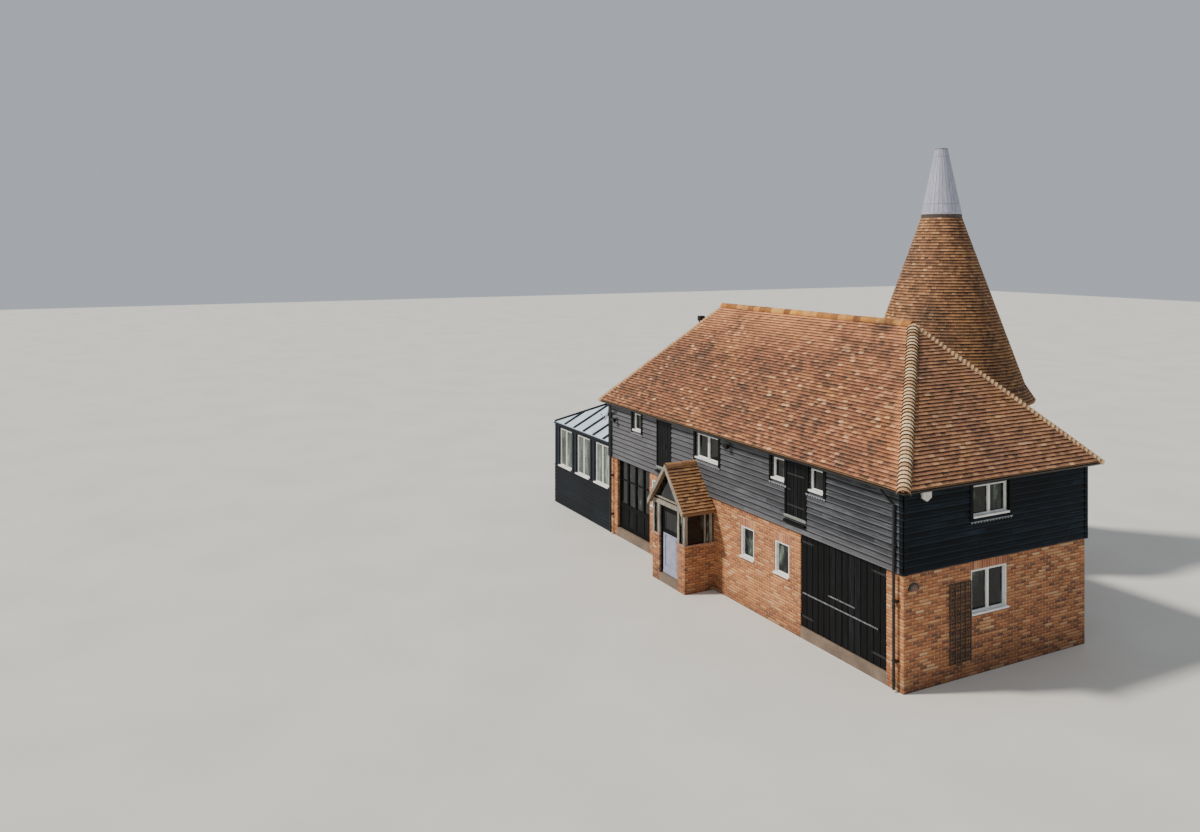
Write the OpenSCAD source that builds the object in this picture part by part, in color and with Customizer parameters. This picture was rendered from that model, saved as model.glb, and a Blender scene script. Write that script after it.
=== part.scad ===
// Oast house: a hop barn of brick below and tarred weatherboard above, under a
// hipped tiled roof, with a round kiln and its turning cowl behind, a gabled
// porch and a pair of cart doors in front, and a glazed garden room at one end.
// X runs along the front, the front faces -Y, and the base is at Z = 0.

/* [Main block] */
// Length of the brickwork, end to end
body_l = 13900; // [13300:50:16000]
// Width of the brickwork, front to back
body_w = 6100; // [5600:50:7000]
// Thickness of the brick walls
brick_t = 225; // [180:5:330]
// Height of the brick storey
brick_h = 2680; // [2560:10:3000]
// Thickness of the boarded walls
board_t = 160; // [120:5:200]
// Height of the boarded storey
board_h = 1820; // [1700:10:2200]
// How far the boarded walls stand out past the bricks
oversail = 40; // [15:5:60]
// Height of the ground slab and its thresholds
slab_h = 300; // [200:10:340]
// Thickness of the upper floors
floor_t = 250; // [180:10:300]

/* [Main roof] */
// Height of the roof from the tile edge at the eaves to the ridge
roof_rise = 3320; // [2800:20:3700]
// How far the tiles run out past the brickwork
eave_out = 280; // [220:10:400]
// How far the eaves board stands back from the edge of the tiles
eaves_board_back = 80; // [50:5:120]
// Height of the eaves board
eaves_board_h = 90; // [60:5:120]
// Thickness of the tile edge at the eaves
tile_edge = 35; // [25:5:60]
// Depth of the rafters and tiles, measured straight down
roof_depth = 200; // [150:10:260]
// Distance from the near end wall in to the end of the ridge
hip_near = 2750; // [2300:50:3200]
// Distance from the far end wall in to the end of the ridge
hip_far = 2450; // [2100:50:3200]
// Radius of the ridge and hip tiles
ridge_r = 105; // [80:5:140]

/* [Gutters and pipes] */
// Radius of the gutters
gutter_r = 58; // [45:1:75]
// Thickness of the gutters
gutter_t = 5; // [3:1:8]
// How far the rim of the gutters hangs under the tiles
gutter_drop = 8; // [5:1:20]
// Radius of the downpipes
downpipe_r = 34; // [28:1:45]
// Gap between a downpipe and the wall
downpipe_gap = 30; // [20:5:50]
// Distance of the downpipes from the corners
downpipe_in = 200; // [150:10:300]
// Distance of their outlets from the corners
outlet_in = 460; // [350:10:600]
// Height of the swan-neck of a downpipe
neck_h = 300; // [200:10:400]
// Height of the foot of a downpipe above the base
downpipe_foot = 60; // [20:10:150]
// Height of the brackets of the downpipes
bracket_h = 40; // [25:5:60]
// Radius of the stove flue
flue_r = 90; // [70:5:130]
// Height of the stove flue above the roof
flue_h = 1650; // [900:50:1900]
// Height of the cap on the flue
flue_cap_h = 170; // [120:10:250]
// How far the cap stands out past the flue
flue_cap_out = 45; // [25:5:80]
// Distance of the flue from the far end wall
flue_in = 700; // [500:50:1000]
// Distance of the flue behind the ridge line
flue_aside = 250; // [100:10:400]

/* [Windows] */
// Width of the frame bars
bar_w = 60; // [45:5:75]
// Depth of the frames
frame_d = 80; // [60:5:100]
// How far the frames stand back from the wall face
reveal = 60; // [30:5:75]
// How far the sills stand out from the wall face
sill_out = 45; // [20:5:80]
// Thickness of the sills
sill_t = 45; // [30:5:70]
// Thickness of the glass
glass_t = 16; // [10:1:24]
// Width of the small windows in the bricks
small_w = 600; // [500:10:700]
// Height of the small windows in the bricks
small_h = 875; // [700:5:1000]
// Height of the bricks over the small windows
small_head = 460; // [350:10:600]
// Height of the bricks over the small window before the porch
porch_window_head = 240; // [160:10:400]
// Width of the two-light windows
wide_w = 1200; // [1000:10:1300]
// Height of the two-light windows in the bricks
wide_h = 1045; // [900:5:1100]
// Height of the bricks over the two-light windows
wide_head = 235; // [160:5:300]
// Width of the one-light windows in the boards
loft_w = 550; // [480:10:600]
// Height of the one-light windows in the boards
loft_h = 600; // [500:10:700]
// Height of the two-light windows in the boards
loft_wide_h = 770; // [650:10:900]
// Height of the boards over the upper windows and doors
loft_head = 60; // [40:5:150]

/* [Places along the walls] */
// Distance from the near corner to the small window beside the cart doors
window_a_at = 4345; // [4100:5:4500]
// Distance from the near corner to the small window beside the porch
window_b_at = 5865; // [5500:5:6500]
// Distance from the far corner to the small window before the porch
window_c_at = 3120; // [3080:5:3250]
// Distance from the near corner to the loft window nearest to it
loft_a_at = 2910; // [2600:5:3000]
// Distance from the near corner to the loft window past the taking-in door
loft_b_at = 4430; // [4400:5:5200]
// Distance from the near corner to the two-light loft window
loft_c_at = 7795; // [6500:5:8000]
// Distance from the far corner to the loft window over the bay
loft_d_at = 1960; // [900:5:2500]
// Distance from the far corner to the loft door
loft_door_at = 3685; // [3200:5:3800]
// Distance from the near corner to the taking-in door
taking_at = 3710; // [3680:5:3760]
// Distance from the middle of the near end wall to its windows, towards the back
end_window_at = -345; // [-700:5:900]
// Distance from the corners to the windows of the back wall
back_window_at = 2350; // [1200:10:2600]
// Distance from the back corner to the loft window of the far end wall
far_window_at = 1150; // [900:10:1700]

/* [Loft doors] */
// Width of the plank doors in the boards
loft_door_w = 740; // [650:10:760]
// Height of the foot of the loft door above the bricks
loft_door_up = 310; // [280:10:500]
// Height of the foot of the taking-in door above the bricks
taking_up = 370; // [320:10:500]
// Thickness of the plank doors
plank_t = 45; // [35:1:60]
// How far the landing ledge under them stands out
landing_out = 90; // [50:5:130]
// Depth of the landing ledge
landing_h = 60; // [40:5:90]
// How far the landing ledge lies under the foot of its door
landing_down = 130; // [100:5:180]

/* [Cart doors] */
// Width of the cart doorway
cart_w = 3050; // [2600:10:3200]
// Width of the brick pier between the cart doorway and the near corner
cart_pier = 530; // [450:10:700]
// Gap round each door leaf
door_gap = 8; // [7:1:12]
// How far the cart doors stand back from the brick face
cart_back = 20; // [10:5:40]
// Width of the ledges and braces behind the plank doors
ledge_w = 150; // [100:5:180]
// Thickness of the ledges and braces
ledge_t = 30; // [20:1:40]
// How far the ledges stop short of the edges of a leaf
ledge_in = 60; // [40:5:100]
// Distance of the outer ledges from the foot and head of a leaf
ledge_up = 150; // [80:10:250]
// Height of the long drop bar above the slab
bar_up = 850; // [750:10:950]
// Distance of the long bar's left end from the jamb
bar_end = 60; // [40:5:200]
// How much further its right end stands from the other jamb
bar_short_by = 210; // [0:10:400]
// Height of the short bar above the long one
short_bar_up = 230; // [150:10:350]
// Length of the short bar on each leaf
short_bar_l = 480; // [300:10:700]
// Depth of the drop bars and strap hinges
strap_w = 50; // [40:5:70]
// Thickness of the drop bars and strap hinges
strap_t = 8; // [5:1:12]
// Length of the strap hinges
strap_l = 480; // [350:10:700]
// Height of the lower straps above the foot of a leaf
strap_up = 250; // [180:10:400]
// Distance of the upper straps below the head of a leaf
strap_down = 220; // [180:10:400]
// Radius of the hinge knuckles
knuckle_r = 11; // [9:1:14]
// Height of the hinge knuckles
knuckle_h = 60; // [50:5:80]
// Thickness of the iron round a hinge pin
knuckle_t = 4; // [3:0.5:5]
// Thickness of the arm that carries a hinge pin
pin_arm_t = 12; // [8:1:20]

/* [Front door] */
// Width of the doorway from the porch into the house
door_w = 940; // [860:10:980]
// Height of that doorway
door_h = 2030; // [1950:10:2150]
// Depth of its frame
door_frame_d = 90; // [75:5:110]
// Thickness of the front door
door_t = 44; // [38:1:54]
// Width of the stiles and rails of the front door
stile_w = 110; // [90:5:130]
// Height of its glass above the porch floor
door_glass_up = 1280; // [900:10:1350]
// Depth of the panel sunk in its lower half
panel_sunk = 12; // [6:1:18]
// Radius of its hinge pins
door_pin_r = 5; // [4:0.5:7]
// Distance of its hinges from its foot and head
door_hinge_in = 250; // [180:10:350]

/* [Porch] */
// Distance from the near corner to the middle of the porch
porch_at = 8400; // [8300:10:8500]
// How far the middle of the inner doorway stands past the middle of the porch
door_aside = 130; // [0:10:150]
// Width of the porch over its dwarf walls
porch_w = 1800; // [1750:10:1850]
// How far the porch walls stand out from the house
porch_d = 1010; // [900:10:1200]
// Thickness of the dwarf walls
dwarf_t = 215; // [180:5:230]
// Height of the dwarf walls under their coping
dwarf_h = 1340; // [1200:10:1450]
// Length of the dwarf walls across the front on each side
dwarf_front = 400; // [330:10:430]
// Thickness of the coping
coping_t = 50; // [40:5:70]
// How far the coping stands out
coping_out = 20; // [10:5:30]
// Side of the porch posts
post_w = 100; // [80:5:120]
// Gap between the house wall and the rear posts, filled by a pane
rear_post_out = 60; // [40:5:90]
// Side of the mullions in the sides of the porch
porch_mullion = 60; // [45:5:80]
// Distance from the house wall to the middle of those mullions
porch_mullion_at = 305; // [260:5:450]
// Height of the bricks over the porch plates
plate_down = 260; // [180:10:320]
// Depth of the porch plates and tie beam
plate_d = 130; // [100:5:160]
// Height of the porch rafters from the plates to the ridge
porch_rise = 1050; // [900:10:1150]
// How far the porch roof stands out past the plates at the sides
porch_eave = 90; // [60:10:140]
// How far the porch roof stands out at the gable
verge_out = 110; // [80:10:140]
// Depth of the porch roof, measured straight down
porch_roof_t = 80; // [60:5:140]
// Thickness of the bargeboards
barge_t = 28; // [20:1:40]
// How far the bargeboards hang below the porch roof
barge_down = 60; // [40:5:130]
// Height of the porch floor
porch_floor_h = 250; // [180:10:280]

/* [Glazed bay] */
// Width of the brick pier at the far corner
pier_w = 510; // [400:10:600]
// Width of the glazed bay
bay_w = 2190; // [1900:10:2250]
// How far the bay screen stands back
bay_back = 90; // [50:5:110]
// Side of the posts and rails of the bay screen
bay_bar = 90; // [70:5:110]
// Number of lights in the bay screen
bay_lights = 4; // [3:1:6]
// Height of its middle rail above the slab
bay_rail_up = 850; // [600:10:1100]

/* [Garden room] */
// Length of the garden room
garden_l = 4600; // [4000:50:5000]
// Depth of the garden room
garden_d = 4000; // [3400:50:4400]
// Height of the walls under its windows
plinth_h = 1480; // [1300:10:1550]
// Thickness of the garden room walls and posts
garden_t = 150; // [130:5:180]
// Height of its windows
garden_window_h = 1470; // [1300:10:1550]
// Depth of its eaves beam
garden_beam = 140; // [100:5:180]
// Slope of the glass roof in degrees
garden_pitch = 27; // [22:1:30]
// Width of the posts between its windows
garden_post = 430; // [330:10:480]
// Width of the post where it meets the house
garden_end_post = 80; // [60:5:150]
// How far its window sills stand out before the frames' own face
garden_window_out = 20; // [10:5:30]
// Number of windows on each side
garden_bays = 3; // [2:1:4]
// Width of the opening between it and the house
far_gap_w = 1800; // [1200:50:2400]
// Width of the rafters
rafter_w = 55; // [45:5:70]
// Depth of the rafters, measured straight down
rafter_d = 85; // [60:5:110]
// Thickness of the roof glass, measured straight down
roof_glass_t = 26; // [20:1:32]
// Spacing of the rafters
rafter_gap = 790; // [700:10:900]
// Distance of the first rafter from the house
first_rafter = 530; // [400:10:650]

/* [Roundel] */
// Outer radius of the round brick wall
round_r = 2620; // [2400:20:2800]
// Thickness of the round wall
round_t = 340; // [225:5:400]
// How far the round wall is built into the line of the back wall
round_bond = 120; // [80:5:200]
// Height of the round wall
round_h = 5080; // [4900:10:5300]
// Distance of the roundel's middle from the middle of the main block
round_at = -90; // [-300:10:300]
// How far the cone's tiles run out past the round wall
cone_out = 180; // [120:10:240]
// Height of the bell-cast kick at the foot of the cone
kick_h = 480; // [300:10:700]
// Radius of the cone at the top of the kick
kick_r = 2500; // [2300:10:2560]
// Radius of the cone at its top
cone_top_r = 625; // [560:5:680]
// Height of the top of the cone
cone_top = 10880; // [10200:20:11400]
// Thickness of the cone, measured level
cone_t = 150; // [110:5:200]

/* [Cowl] */
// Radius of the cowl at its foot
cowl_r = 628; // [560:2:640]
// Radius of the cowl at its top
cowl_top_r = 190; // [160:5:260]
// Height of the cowl
cowl_h = 2140; // [1800:20:2400]
// Thickness of the cowl's boards
cowl_t = 28; // [20:1:40]
// Thickness of the cap on the cowl
cowl_cap_t = 35; // [20:5:60]
// How far the cap stands out
cowl_cap_out = 18; // [10:1:30]
// Height of the foot of the opening in its lee side
cowl_sill = 330; // [250:10:500]
// Height of the boards over the opening
cowl_over = 260; // [200:10:400]
// Angle that the opening spans
cowl_open_angle = 110; // [80:5:130]
// Height of the fixed curb under the cowl
curb_h = 110; // [90:5:160]
// How far the curb stands out past the cone
curb_out = 12; // [6:1:20]
// Gap between the curb and the cowl
cowl_gap = 12; // [8:1:20]
// Radius of the spindle that the cowl turns on
spindle_r = 30; // [24:1:40]
// How far the top of the spindle stands below the cap
spindle_down = 160; // [120:10:220]
// Thickness of the hubs round the spindle
hub_t = 35; // [25:1:45]
// Height of the hubs
hub_h = 90; // [80:5:120]
// Side of the arms and beams that cross the cowl and its curb
arm_w = 60; // [45:5:70]

/* [Small fittings] */
// Radius of the dish
dish_r = 215; // [180:5:260]
// Distance of the dish below the top of the wall
dish_down = 490; // [400:10:600]
// Distance of the dish from the end wall
dish_out = 260; // [220:10:320]
// Radius of the tubes that carry it
dish_tube_r = 16; // [12:1:20]
// Width of the alarm box
alarm_w = 270; // [220:5:300]
// Height of the alarm box
alarm_h = 235; // [200:5:260]
// Depth of the alarm box
alarm_d = 80; // [60:5:110]
// Distance of the alarm box from the near front corner
alarm_in = 600; // [400:10:900]
// Radius of the half-round wall plate
wall_plate_r = 165; // [120:5:200]
// Thickness of the wall plate
wall_plate_t = 20; // [12:1:30]
// Distance of the wall plate from the near front corner
wall_plate_in = 295; // [220:5:400]
// Height of the bricks over the foot of the wall plate
wall_plate_down = 390; // [300:10:500]
// Width of the trellis
trellis_w = 680; // [500:10:800]
// Height of the trellis
trellis_h = 1850; // [1500:10:2000]
// Side of the laths of the trellis
lath = 24; // [18:1:30]
// Gap between the trellis and the window beside it
trellis_gap = 30; // [20:5:80]
// Height of the foot of the trellis above the slab
trellis_up = 80; // [20:10:200]

/* [Hidden] */

$fn = 64;

// Overlap for clean cuts, and lengths that reach past anything here
eps = 1;
cut_reach = 900;
big = 3 * body_l;

// Clearances: round a pin in its bore, under what turns on a seat, and between roof and round kiln
pin_gap = 0.08;
seat_gap = 0.3;
abut_gap = 5;

half_l = body_l / 2;
half_w = body_w / 2;
wall_top = brick_h + board_h;
upper_floor_z = brick_h + floor_t;
board_in = half_w + oversail - board_t;
board_in_l = half_l + oversail - board_t;
head_z = wall_top - loft_head;

// Places along the front, measured from the near or the far corner
function near(d) = half_l - d;
function far(d) = -half_l + d;

cart_x1 = near(cart_pier);
cart_x0 = cart_x1 - cart_w;
bay_x0 = far(pier_w);
bay_x1 = bay_x0 + bay_w;
porch_x = near(porch_at);
door_x0 = porch_x - door_aside - door_w / 2;
door_x1 = door_x0 + door_w;
door_top = slab_h + door_h;

// Windows as [middle, sill, width, height, number of lights], in the bricks and in the boards
function brick_window(x, head, w, h, lights) = [x, brick_h - head - h, w, h, lights];
function small_window(x, head) = brick_window(x, head, small_w, small_h, 1);
function wide_window(x) = brick_window(x, wide_head, wide_w, wide_h, 2);
function loft_window(x) = [x, head_z - loft_h, loft_w, loft_h, 1];
function loft_wide_window(x) = [x, head_z - loft_wide_h, wide_w, loft_wide_h, 2];

porch_window = small_window(far(window_c_at), porch_window_head);
cart_windows = [for (d = [window_a_at, window_b_at]) small_window(near(d), small_head)];
front_upper = concat(
    [for (x = [far(loft_d_at), near(loft_b_at), near(loft_a_at)]) loft_window(x)],
    [loft_wide_window(near(loft_c_at))]);
end_lower = wide_window(end_window_at);
end_upper = loft_wide_window(end_window_at);
back_at = [near(back_window_at), far(back_window_at)];
back_lower = [for (x = back_at) wide_window(x)];
back_upper = [for (x = back_at) loft_wide_window(x)];
far_upper = loft_window(far_window_at - half_w);
round_windows = [wide_window(0), loft_wide_window(0)];

// Plank doors in the boards as [middle, foot]
loft_door = [far(loft_door_at), brick_h + loft_door_up];
taking_door = [near(taking_at), brick_h + taking_up];

eave_z = wall_top + eaves_board_h;
eave_top = eave_z + tile_edge;
ridge_z = eave_top + roof_rise;

// Hips as [foot, head], two at the near end and two at the far end
hip_near_head = [half_l - hip_near, 0, ridge_z];
hip_far_head = [-half_l + hip_far, 0, ridge_z];
function eave_corner(sx, sy) = [sx * (half_l + eave_out), sy * (half_w + eave_out), eave_top];
hips = [for (sy = [-1, 1]) each [[eave_corner(1, sy), hip_near_head], [eave_corner(-1, sy), hip_far_head]]];

// Gutters hang on the eaves boards
gutter_z = eave_z - gutter_drop;
gutter_l = half_l + eave_out - eaves_board_back;
gutter_w = half_w + eave_out - eaves_board_back;

// The flue leaves the hipped slope at the far end
flue_x = far(flue_in);
flue_foot = eave_top + (flue_in + eave_out) * roof_rise / (hip_far + eave_out);

// Cart doors, measured from a jamb: the leaf, the straps and the pin at its hinges
leaf_w = (cart_w - 3 * door_gap) / 2;
leaf_x1 = door_gap + leaf_w;
leaf_z0 = slab_h + door_gap;
leaf_z1 = brick_h - door_gap;
leaf_back = cart_back + plank_t;
strap_y = cart_back - strap_t;
strap_z = [leaf_z0 + strap_up, leaf_z1 - strap_down];
pin_r = knuckle_r - knuckle_t;
pivot_x = door_gap + knuckle_r - strap_t / 4;
pivot_y = strap_y - knuckle_r;
bar_z = slab_h + bar_up;

// Porch, measured from its middle and the house wall
porch_half = porch_w / 2;
plate_top = brick_h - plate_down;
plate_mid = porch_half - post_w / 2;
porch_slope = porch_rise / plate_mid;
porch_post_foot = dwarf_h + coping_t;
porch_head = plate_top - plate_d;
porch_inner = porch_half - dwarf_front;

// Front door between the returns of the porch, measured from its left jamb
front_w = 2 * porch_inner;
frame_back = reveal + door_frame_d;
door_back = frame_back - door_gap;
door_face = door_back - door_t;
leaf_from = bar_w + door_gap;
leaf_to = front_w - bar_w - door_gap;
leaf_top = porch_head - bar_w - door_gap;
door_glass_z = porch_floor_h + door_glass_up;
door_knuckle_r = door_pin_r + knuckle_t;
door_pivot_x = bar_w + knuckle_t;
door_pivot_y = frame_back + door_knuckle_r + knuckle_t;
door_hinge_z = [porch_floor_h + door_hinge_in, leaf_top - door_hinge_in - knuckle_h];

bay_light_w = (bay_w - bay_bar * (bay_lights + 1)) / bay_lights;
bay_rail = slab_h + bay_rail_up;

garden_x0 = -half_l - garden_l;
garden_x1 = -half_l - oversail;
garden_y0 = -half_w;
garden_y1 = garden_y0 + garden_d;
garden_mid = (garden_y0 + garden_y1) / 2;
garden_half = garden_d / 2;
garden_eave = plinth_h + garden_window_h + garden_beam;
garden_rise = garden_half * tan(garden_pitch);
far_gap_y0 = garden_mid - far_gap_w / 2;
far_gap_y1 = garden_mid + far_gap_w / 2;

// Sides of the garden room as [length, width of the first post, width of the last post]
garden_front = [garden_l - oversail, garden_post, garden_end_post];
garden_end = [garden_d, garden_post, garden_post];

round_y = half_w + round_r - round_bond;
round_in = round_r - round_t;
cone_foot_r = round_r + cone_out;
cone_slope = (kick_r - cone_top_r) / (cone_top - round_h - kick_h);
cone_in_r = cone_top_r - cone_t;

// How far the round wall falls back at the edges of a wide window
round_sag = round_r - sqrt(pow(round_r, 2) - pow(wide_w / 2, 2));

cowl_z = cone_top + curb_h + cowl_gap;
cowl_lean = (cowl_r - cowl_top_r) / cowl_h;
spindle_top = cowl_h - spindle_down;
hub_r = spindle_r + hub_t;

// How far a knob at a bend stands out past the rods that it joins
knob = 6;

module slab(x0, x1, y0, y1, z0, z1) {
    translate([x0, y0, z0]) cube([x1 - x0, y1 - y0, z1 - z0]);
}

// A rod from one point to another
module rod(p, q, r) {
    v = q - p;
    len = norm(v);
    translate(p)
        rotate([0, acos(v.z / len), atan2(v.y, v.x)])
            cylinder(h = len, r = r);
}

// Moves a piece drawn against the plane Y = 0, with its outside towards -Y, to a wall
module on_front() { translate([0, -half_w, 0]) children(); }
module on_back() { rotate([0, 0, 180]) translate([0, -half_w, 0]) children(); }
module on_near_end() { translate([half_l, 0, 0]) rotate([0, 0, 90]) children(); }
module on_far_end() { translate([-half_l, 0, 0]) rotate([0, 0, -90]) children(); }
module on_roundel() {
    translate([round_at, round_y, 0]) rotate([0, 0, 180]) translate([0, -round_r, 0]) children();
}

// Opening for one window, cut through a wall of any thickness
module window_hole(w) {
    slab(w[0] - w[2] / 2, w[0] + w[2] / 2, -cut_reach, cut_reach, w[1], w[1] + w[3]);
}

function light_w(w) = (w[2] - bar_w * (w[4] + 1)) / w[4];

// Fills each light of a window with a slab of a given depth
module window_lights(w, face, depth) {
    for (i = [0 : w[4] - 1])
        translate([w[0] - w[2] / 2 + bar_w + i * (light_w(w) + bar_w), face, w[1] + bar_w])
            cube([light_w(w), depth, w[3] - 2 * bar_w]);
}

// Frame with its mullion and sill; out is how far the wall face stands before Y = 0
module window_frame(w, out) {
    face = -out + reveal;
    x0 = w[0] - w[2] / 2;
    difference() {
        slab(x0, x0 + w[2], face, face + frame_d, w[1], w[1] + w[3]);
        window_lights(w, face - eps, frame_d + 2 * eps);
    }
    slab(x0, x0 + w[2], -out - sill_out, face, w[1], w[1] + sill_t);
}

// Glass in the middle of the frame
module window_panes(w, out) {
    window_lights(w, -out + reveal + (frame_d - glass_t) / 2, glass_t);
}

// Floor and thresholds of the house, the porch, the garden room and the round kiln
module ground_slab() {
    in_l = half_l - brick_t;
    in_w = half_w - brick_t;
    porch_y = -half_w - porch_d;
    color("burlywood") {
        slab(-in_l, in_l, -in_w, in_w, 0, slab_h);
        for (x = [[cart_x0, cart_x1], [door_x0, door_x1], [bay_x0, bay_x1]])
            slab(x[0], x[1], -half_w, -in_w + eps, 0, slab_h);
        slab(porch_x - porch_half + dwarf_t, porch_x + porch_half - dwarf_t, porch_y + dwarf_t, -half_w,
            0, porch_floor_h);
        slab(porch_x - porch_half + dwarf_front, porch_x + porch_half - dwarf_front,
            porch_y, porch_y + dwarf_t + eps, 0, porch_floor_h);
        slab(-half_l - garden_t, -in_l + eps, far_gap_y0, far_gap_y1, 0, slab_h);
        slab(garden_x0 + garden_t, -half_l, garden_y0 + garden_t, garden_y1 - garden_t, 0, slab_h);
        translate([round_at, round_y, 0]) cylinder(h = slab_h, r = round_in);
    }
}

// Front brick wall, from pier to pier
module brick_wall(x0, x1) { slab(x0, x1, -half_w, -half_w + brick_t, 0, brick_h); }

module front_pier_left() { color("peru") brick_wall(-half_l, bay_x0); }

module front_wall_left() {
    color("peru") difference() {
        brick_wall(bay_x1, door_x0);
        on_front() window_hole(porch_window);
    }
}

module front_door_lintel() {
    color("peru") slab(door_x0, door_x1, -half_w, -half_w + brick_t, door_top, brick_h);
}

module front_wall_middle() {
    color("peru") difference() {
        brick_wall(door_x1, cart_x0);
        on_front() for (w = cart_windows) window_hole(w);
    }
}

module front_pier_right() { color("peru") brick_wall(cart_x1, half_l); }

module near_end_wall() {
    color("peru") difference() {
        slab(half_l - brick_t, half_l, -half_w + brick_t, half_w - brick_t, 0, brick_h);
        on_near_end() window_hole(end_lower);
    }
}

module back_wall() {
    color("peru") difference() {
        slab(-half_l, half_l, half_w - brick_t, half_w, 0, brick_h);
        on_back() for (w = back_lower) window_hole(w);
    }
}

module far_end_wall() {
    color("peru") difference() {
        slab(-half_l, -half_l + brick_t, -half_w + brick_t, half_w - brick_t, 0, brick_h);
        slab(-half_l - eps, -half_l + brick_t + eps, far_gap_y0, far_gap_y1, -eps, brick_h + eps);
    }
}

module upper_floors() {
    color("tan") {
        slab(-board_in_l, board_in_l, -board_in, board_in, brick_h, upper_floor_z);
        translate([round_at, round_y, brick_h]) cylinder(h = floor_t, r = round_in);
    }
}

// One long boarded wall drawn with its outside towards -Y
module board_wall() {
    slab(-half_l - oversail, half_l + oversail, -oversail, board_t - oversail, brick_h, wall_top);
}

// Opening for one plank door
module loft_door_hole(d) {
    slab(d[0] - loft_door_w / 2, d[0] + loft_door_w / 2, -cut_reach, cut_reach, d[1], head_z);
}

module upper_front_wall() {
    color("dimgray") on_front() difference() {
        board_wall();
        for (w = front_upper) window_hole(w);
        loft_door_hole(loft_door);
        loft_door_hole(taking_door);
    }
}

module upper_back_wall() {
    color("dimgray") on_back() difference() {
        board_wall();
        for (w = back_upper) window_hole(w);
    }
}

// One boarded end wall between the long walls, with its outside towards -Y
module board_end() { slab(-board_in, board_in, -oversail, board_t - oversail, brick_h, wall_top); }

module upper_near_end_wall() {
    color("dimgray") on_near_end() difference() {
        board_end();
        window_hole(end_upper);
    }
}

module upper_far_end_wall() {
    color("dimgray") on_far_end() difference() {
        board_end();
        window_hole(far_upper);
    }
}

// Half of the roof's section: the eaves board, the tile edge and the slope up to the ridge
function eave_line(half, run) = [
    [half + eave_out - eaves_board_back, wall_top],
    [half + eave_out - eaves_board_back, eave_z],
    [half + eave_out, eave_z],
    [half + eave_out, eave_top],
    [half - run, ridge_z]];
function mirrored(points, n) = [for (i = [n - 1 : -1 : 0]) [-points[i][0], points[i][1]]];

// Extrudes a section drawn in Y and Z along X, or one drawn in X and Z along Y
module along_x() { translate([-big / 2, 0, 0]) rotate([90, 0, 90]) linear_extrude(big) children(); }
module along_y() { translate([0, big / 2, 0]) rotate([90, 0, 0]) linear_extrude(big) children(); }

// The whole hipped form, solid
module roof_form() {
    wide = eave_line(half_w, half_w);
    long_far = eave_line(half_l, hip_far);
    intersection() {
        along_x() polygon(concat(wide, mirrored(wide, len(wide) - 1)));
        along_y() polygon(concat(eave_line(half_l, hip_near), mirrored(long_far, len(long_far))));
    }
}

// Half of the hollow under the rafters: up the inside of the wall plate, then up the slope
function hollow_line(half, inner, run) = let (slope = roof_rise / (eave_out + run)) [
    [inner, wall_top - eps],
    [inner, eave_top + (half + eave_out - inner) * slope - roof_depth],
    [half - run, ridge_z - roof_depth]];

module roof_hollow() {
    wide = hollow_line(half_w, board_in, half_w);
    long_near = hollow_line(half_l, board_in_l, hip_near);
    long_far = hollow_line(half_l, board_in_l, hip_far);
    intersection() {
        along_x() polygon(concat(wide, mirrored(wide, len(wide) - 1)));
        along_y() polygon(concat(long_near, mirrored(long_far, len(long_far))));
    }
}

// The outside of the round kiln with its cone, grown by a gap
module roundel_form(gap) {
    translate([round_at, round_y, 0]) rotate_extrude() polygon([
        [0, 0], [round_r + gap, 0], [round_r + gap, round_h - gap], [cone_foot_r + gap, round_h - gap],
        [cone_foot_r + gap, round_h + tile_edge], [kick_r + gap, round_h + kick_h],
        [cone_top_r + gap, cone_top], [0, cone_top]]);
}

module main_roof() {
    color("indianred") difference() {
        roof_form();
        roof_hollow();
        roundel_form(abut_gap);
    }
}

// Half-round tiles bedded on the ridge and the four hips
module ridge_and_hip_tiles() {
    sink = [0, 0, ridge_r / 2];
    color("sandybrown") difference() {
        union() {
            rod(hip_far_head - sink, hip_near_head - sink, ridge_r);
            for (h = hips) rod(h[0] - sink, h[1] - sink, ridge_r);
            for (p = [hip_near_head, hip_far_head]) translate(p - sink) sphere(r = ridge_r + knob);
        }
        roof_form();
        roundel_form(abut_gap);
        slab(-big / 2, big / 2, -big / 2, big / 2, 0, eave_top);
    }
}

// Section of a gutter, with its eaves board at X = 0 and its rim at Y = 0
module gutter_section() {
    translate([gutter_r, 0]) difference() {
        circle(r = gutter_r);
        circle(r = gutter_r - gutter_t);
        translate([-gutter_r - eps, 0]) square([2 * gutter_r + 2 * eps, gutter_r + eps]);
    }
}

// A straight gutter along X with mitred ends, and its eaves board at Y = 0
module gutter_run(half) {
    out = 2 * gutter_r;
    intersection() {
        translate([-half - out, 0, gutter_z]) rotate([90, 0, 90]) mirror([1, 0])
            linear_extrude(2 * (half + out)) gutter_section();
        translate([0, 0, gutter_z - out]) linear_extrude(2 * out)
            polygon([[-half, 0], [-half - out, -out], [half + out, -out], [half, 0]]);
    }
}

module gutters() {
    color("black") difference() {
        union() {
            for (a = [0, 180]) rotate([0, 0, a]) translate([0, -gutter_w, 0]) gutter_run(gutter_l);
            for (a = [90, 270]) rotate([0, 0, a]) translate([0, -gutter_l, 0]) gutter_run(gutter_w);
        }
        roundel_form(abut_gap);
    }
}

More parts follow.
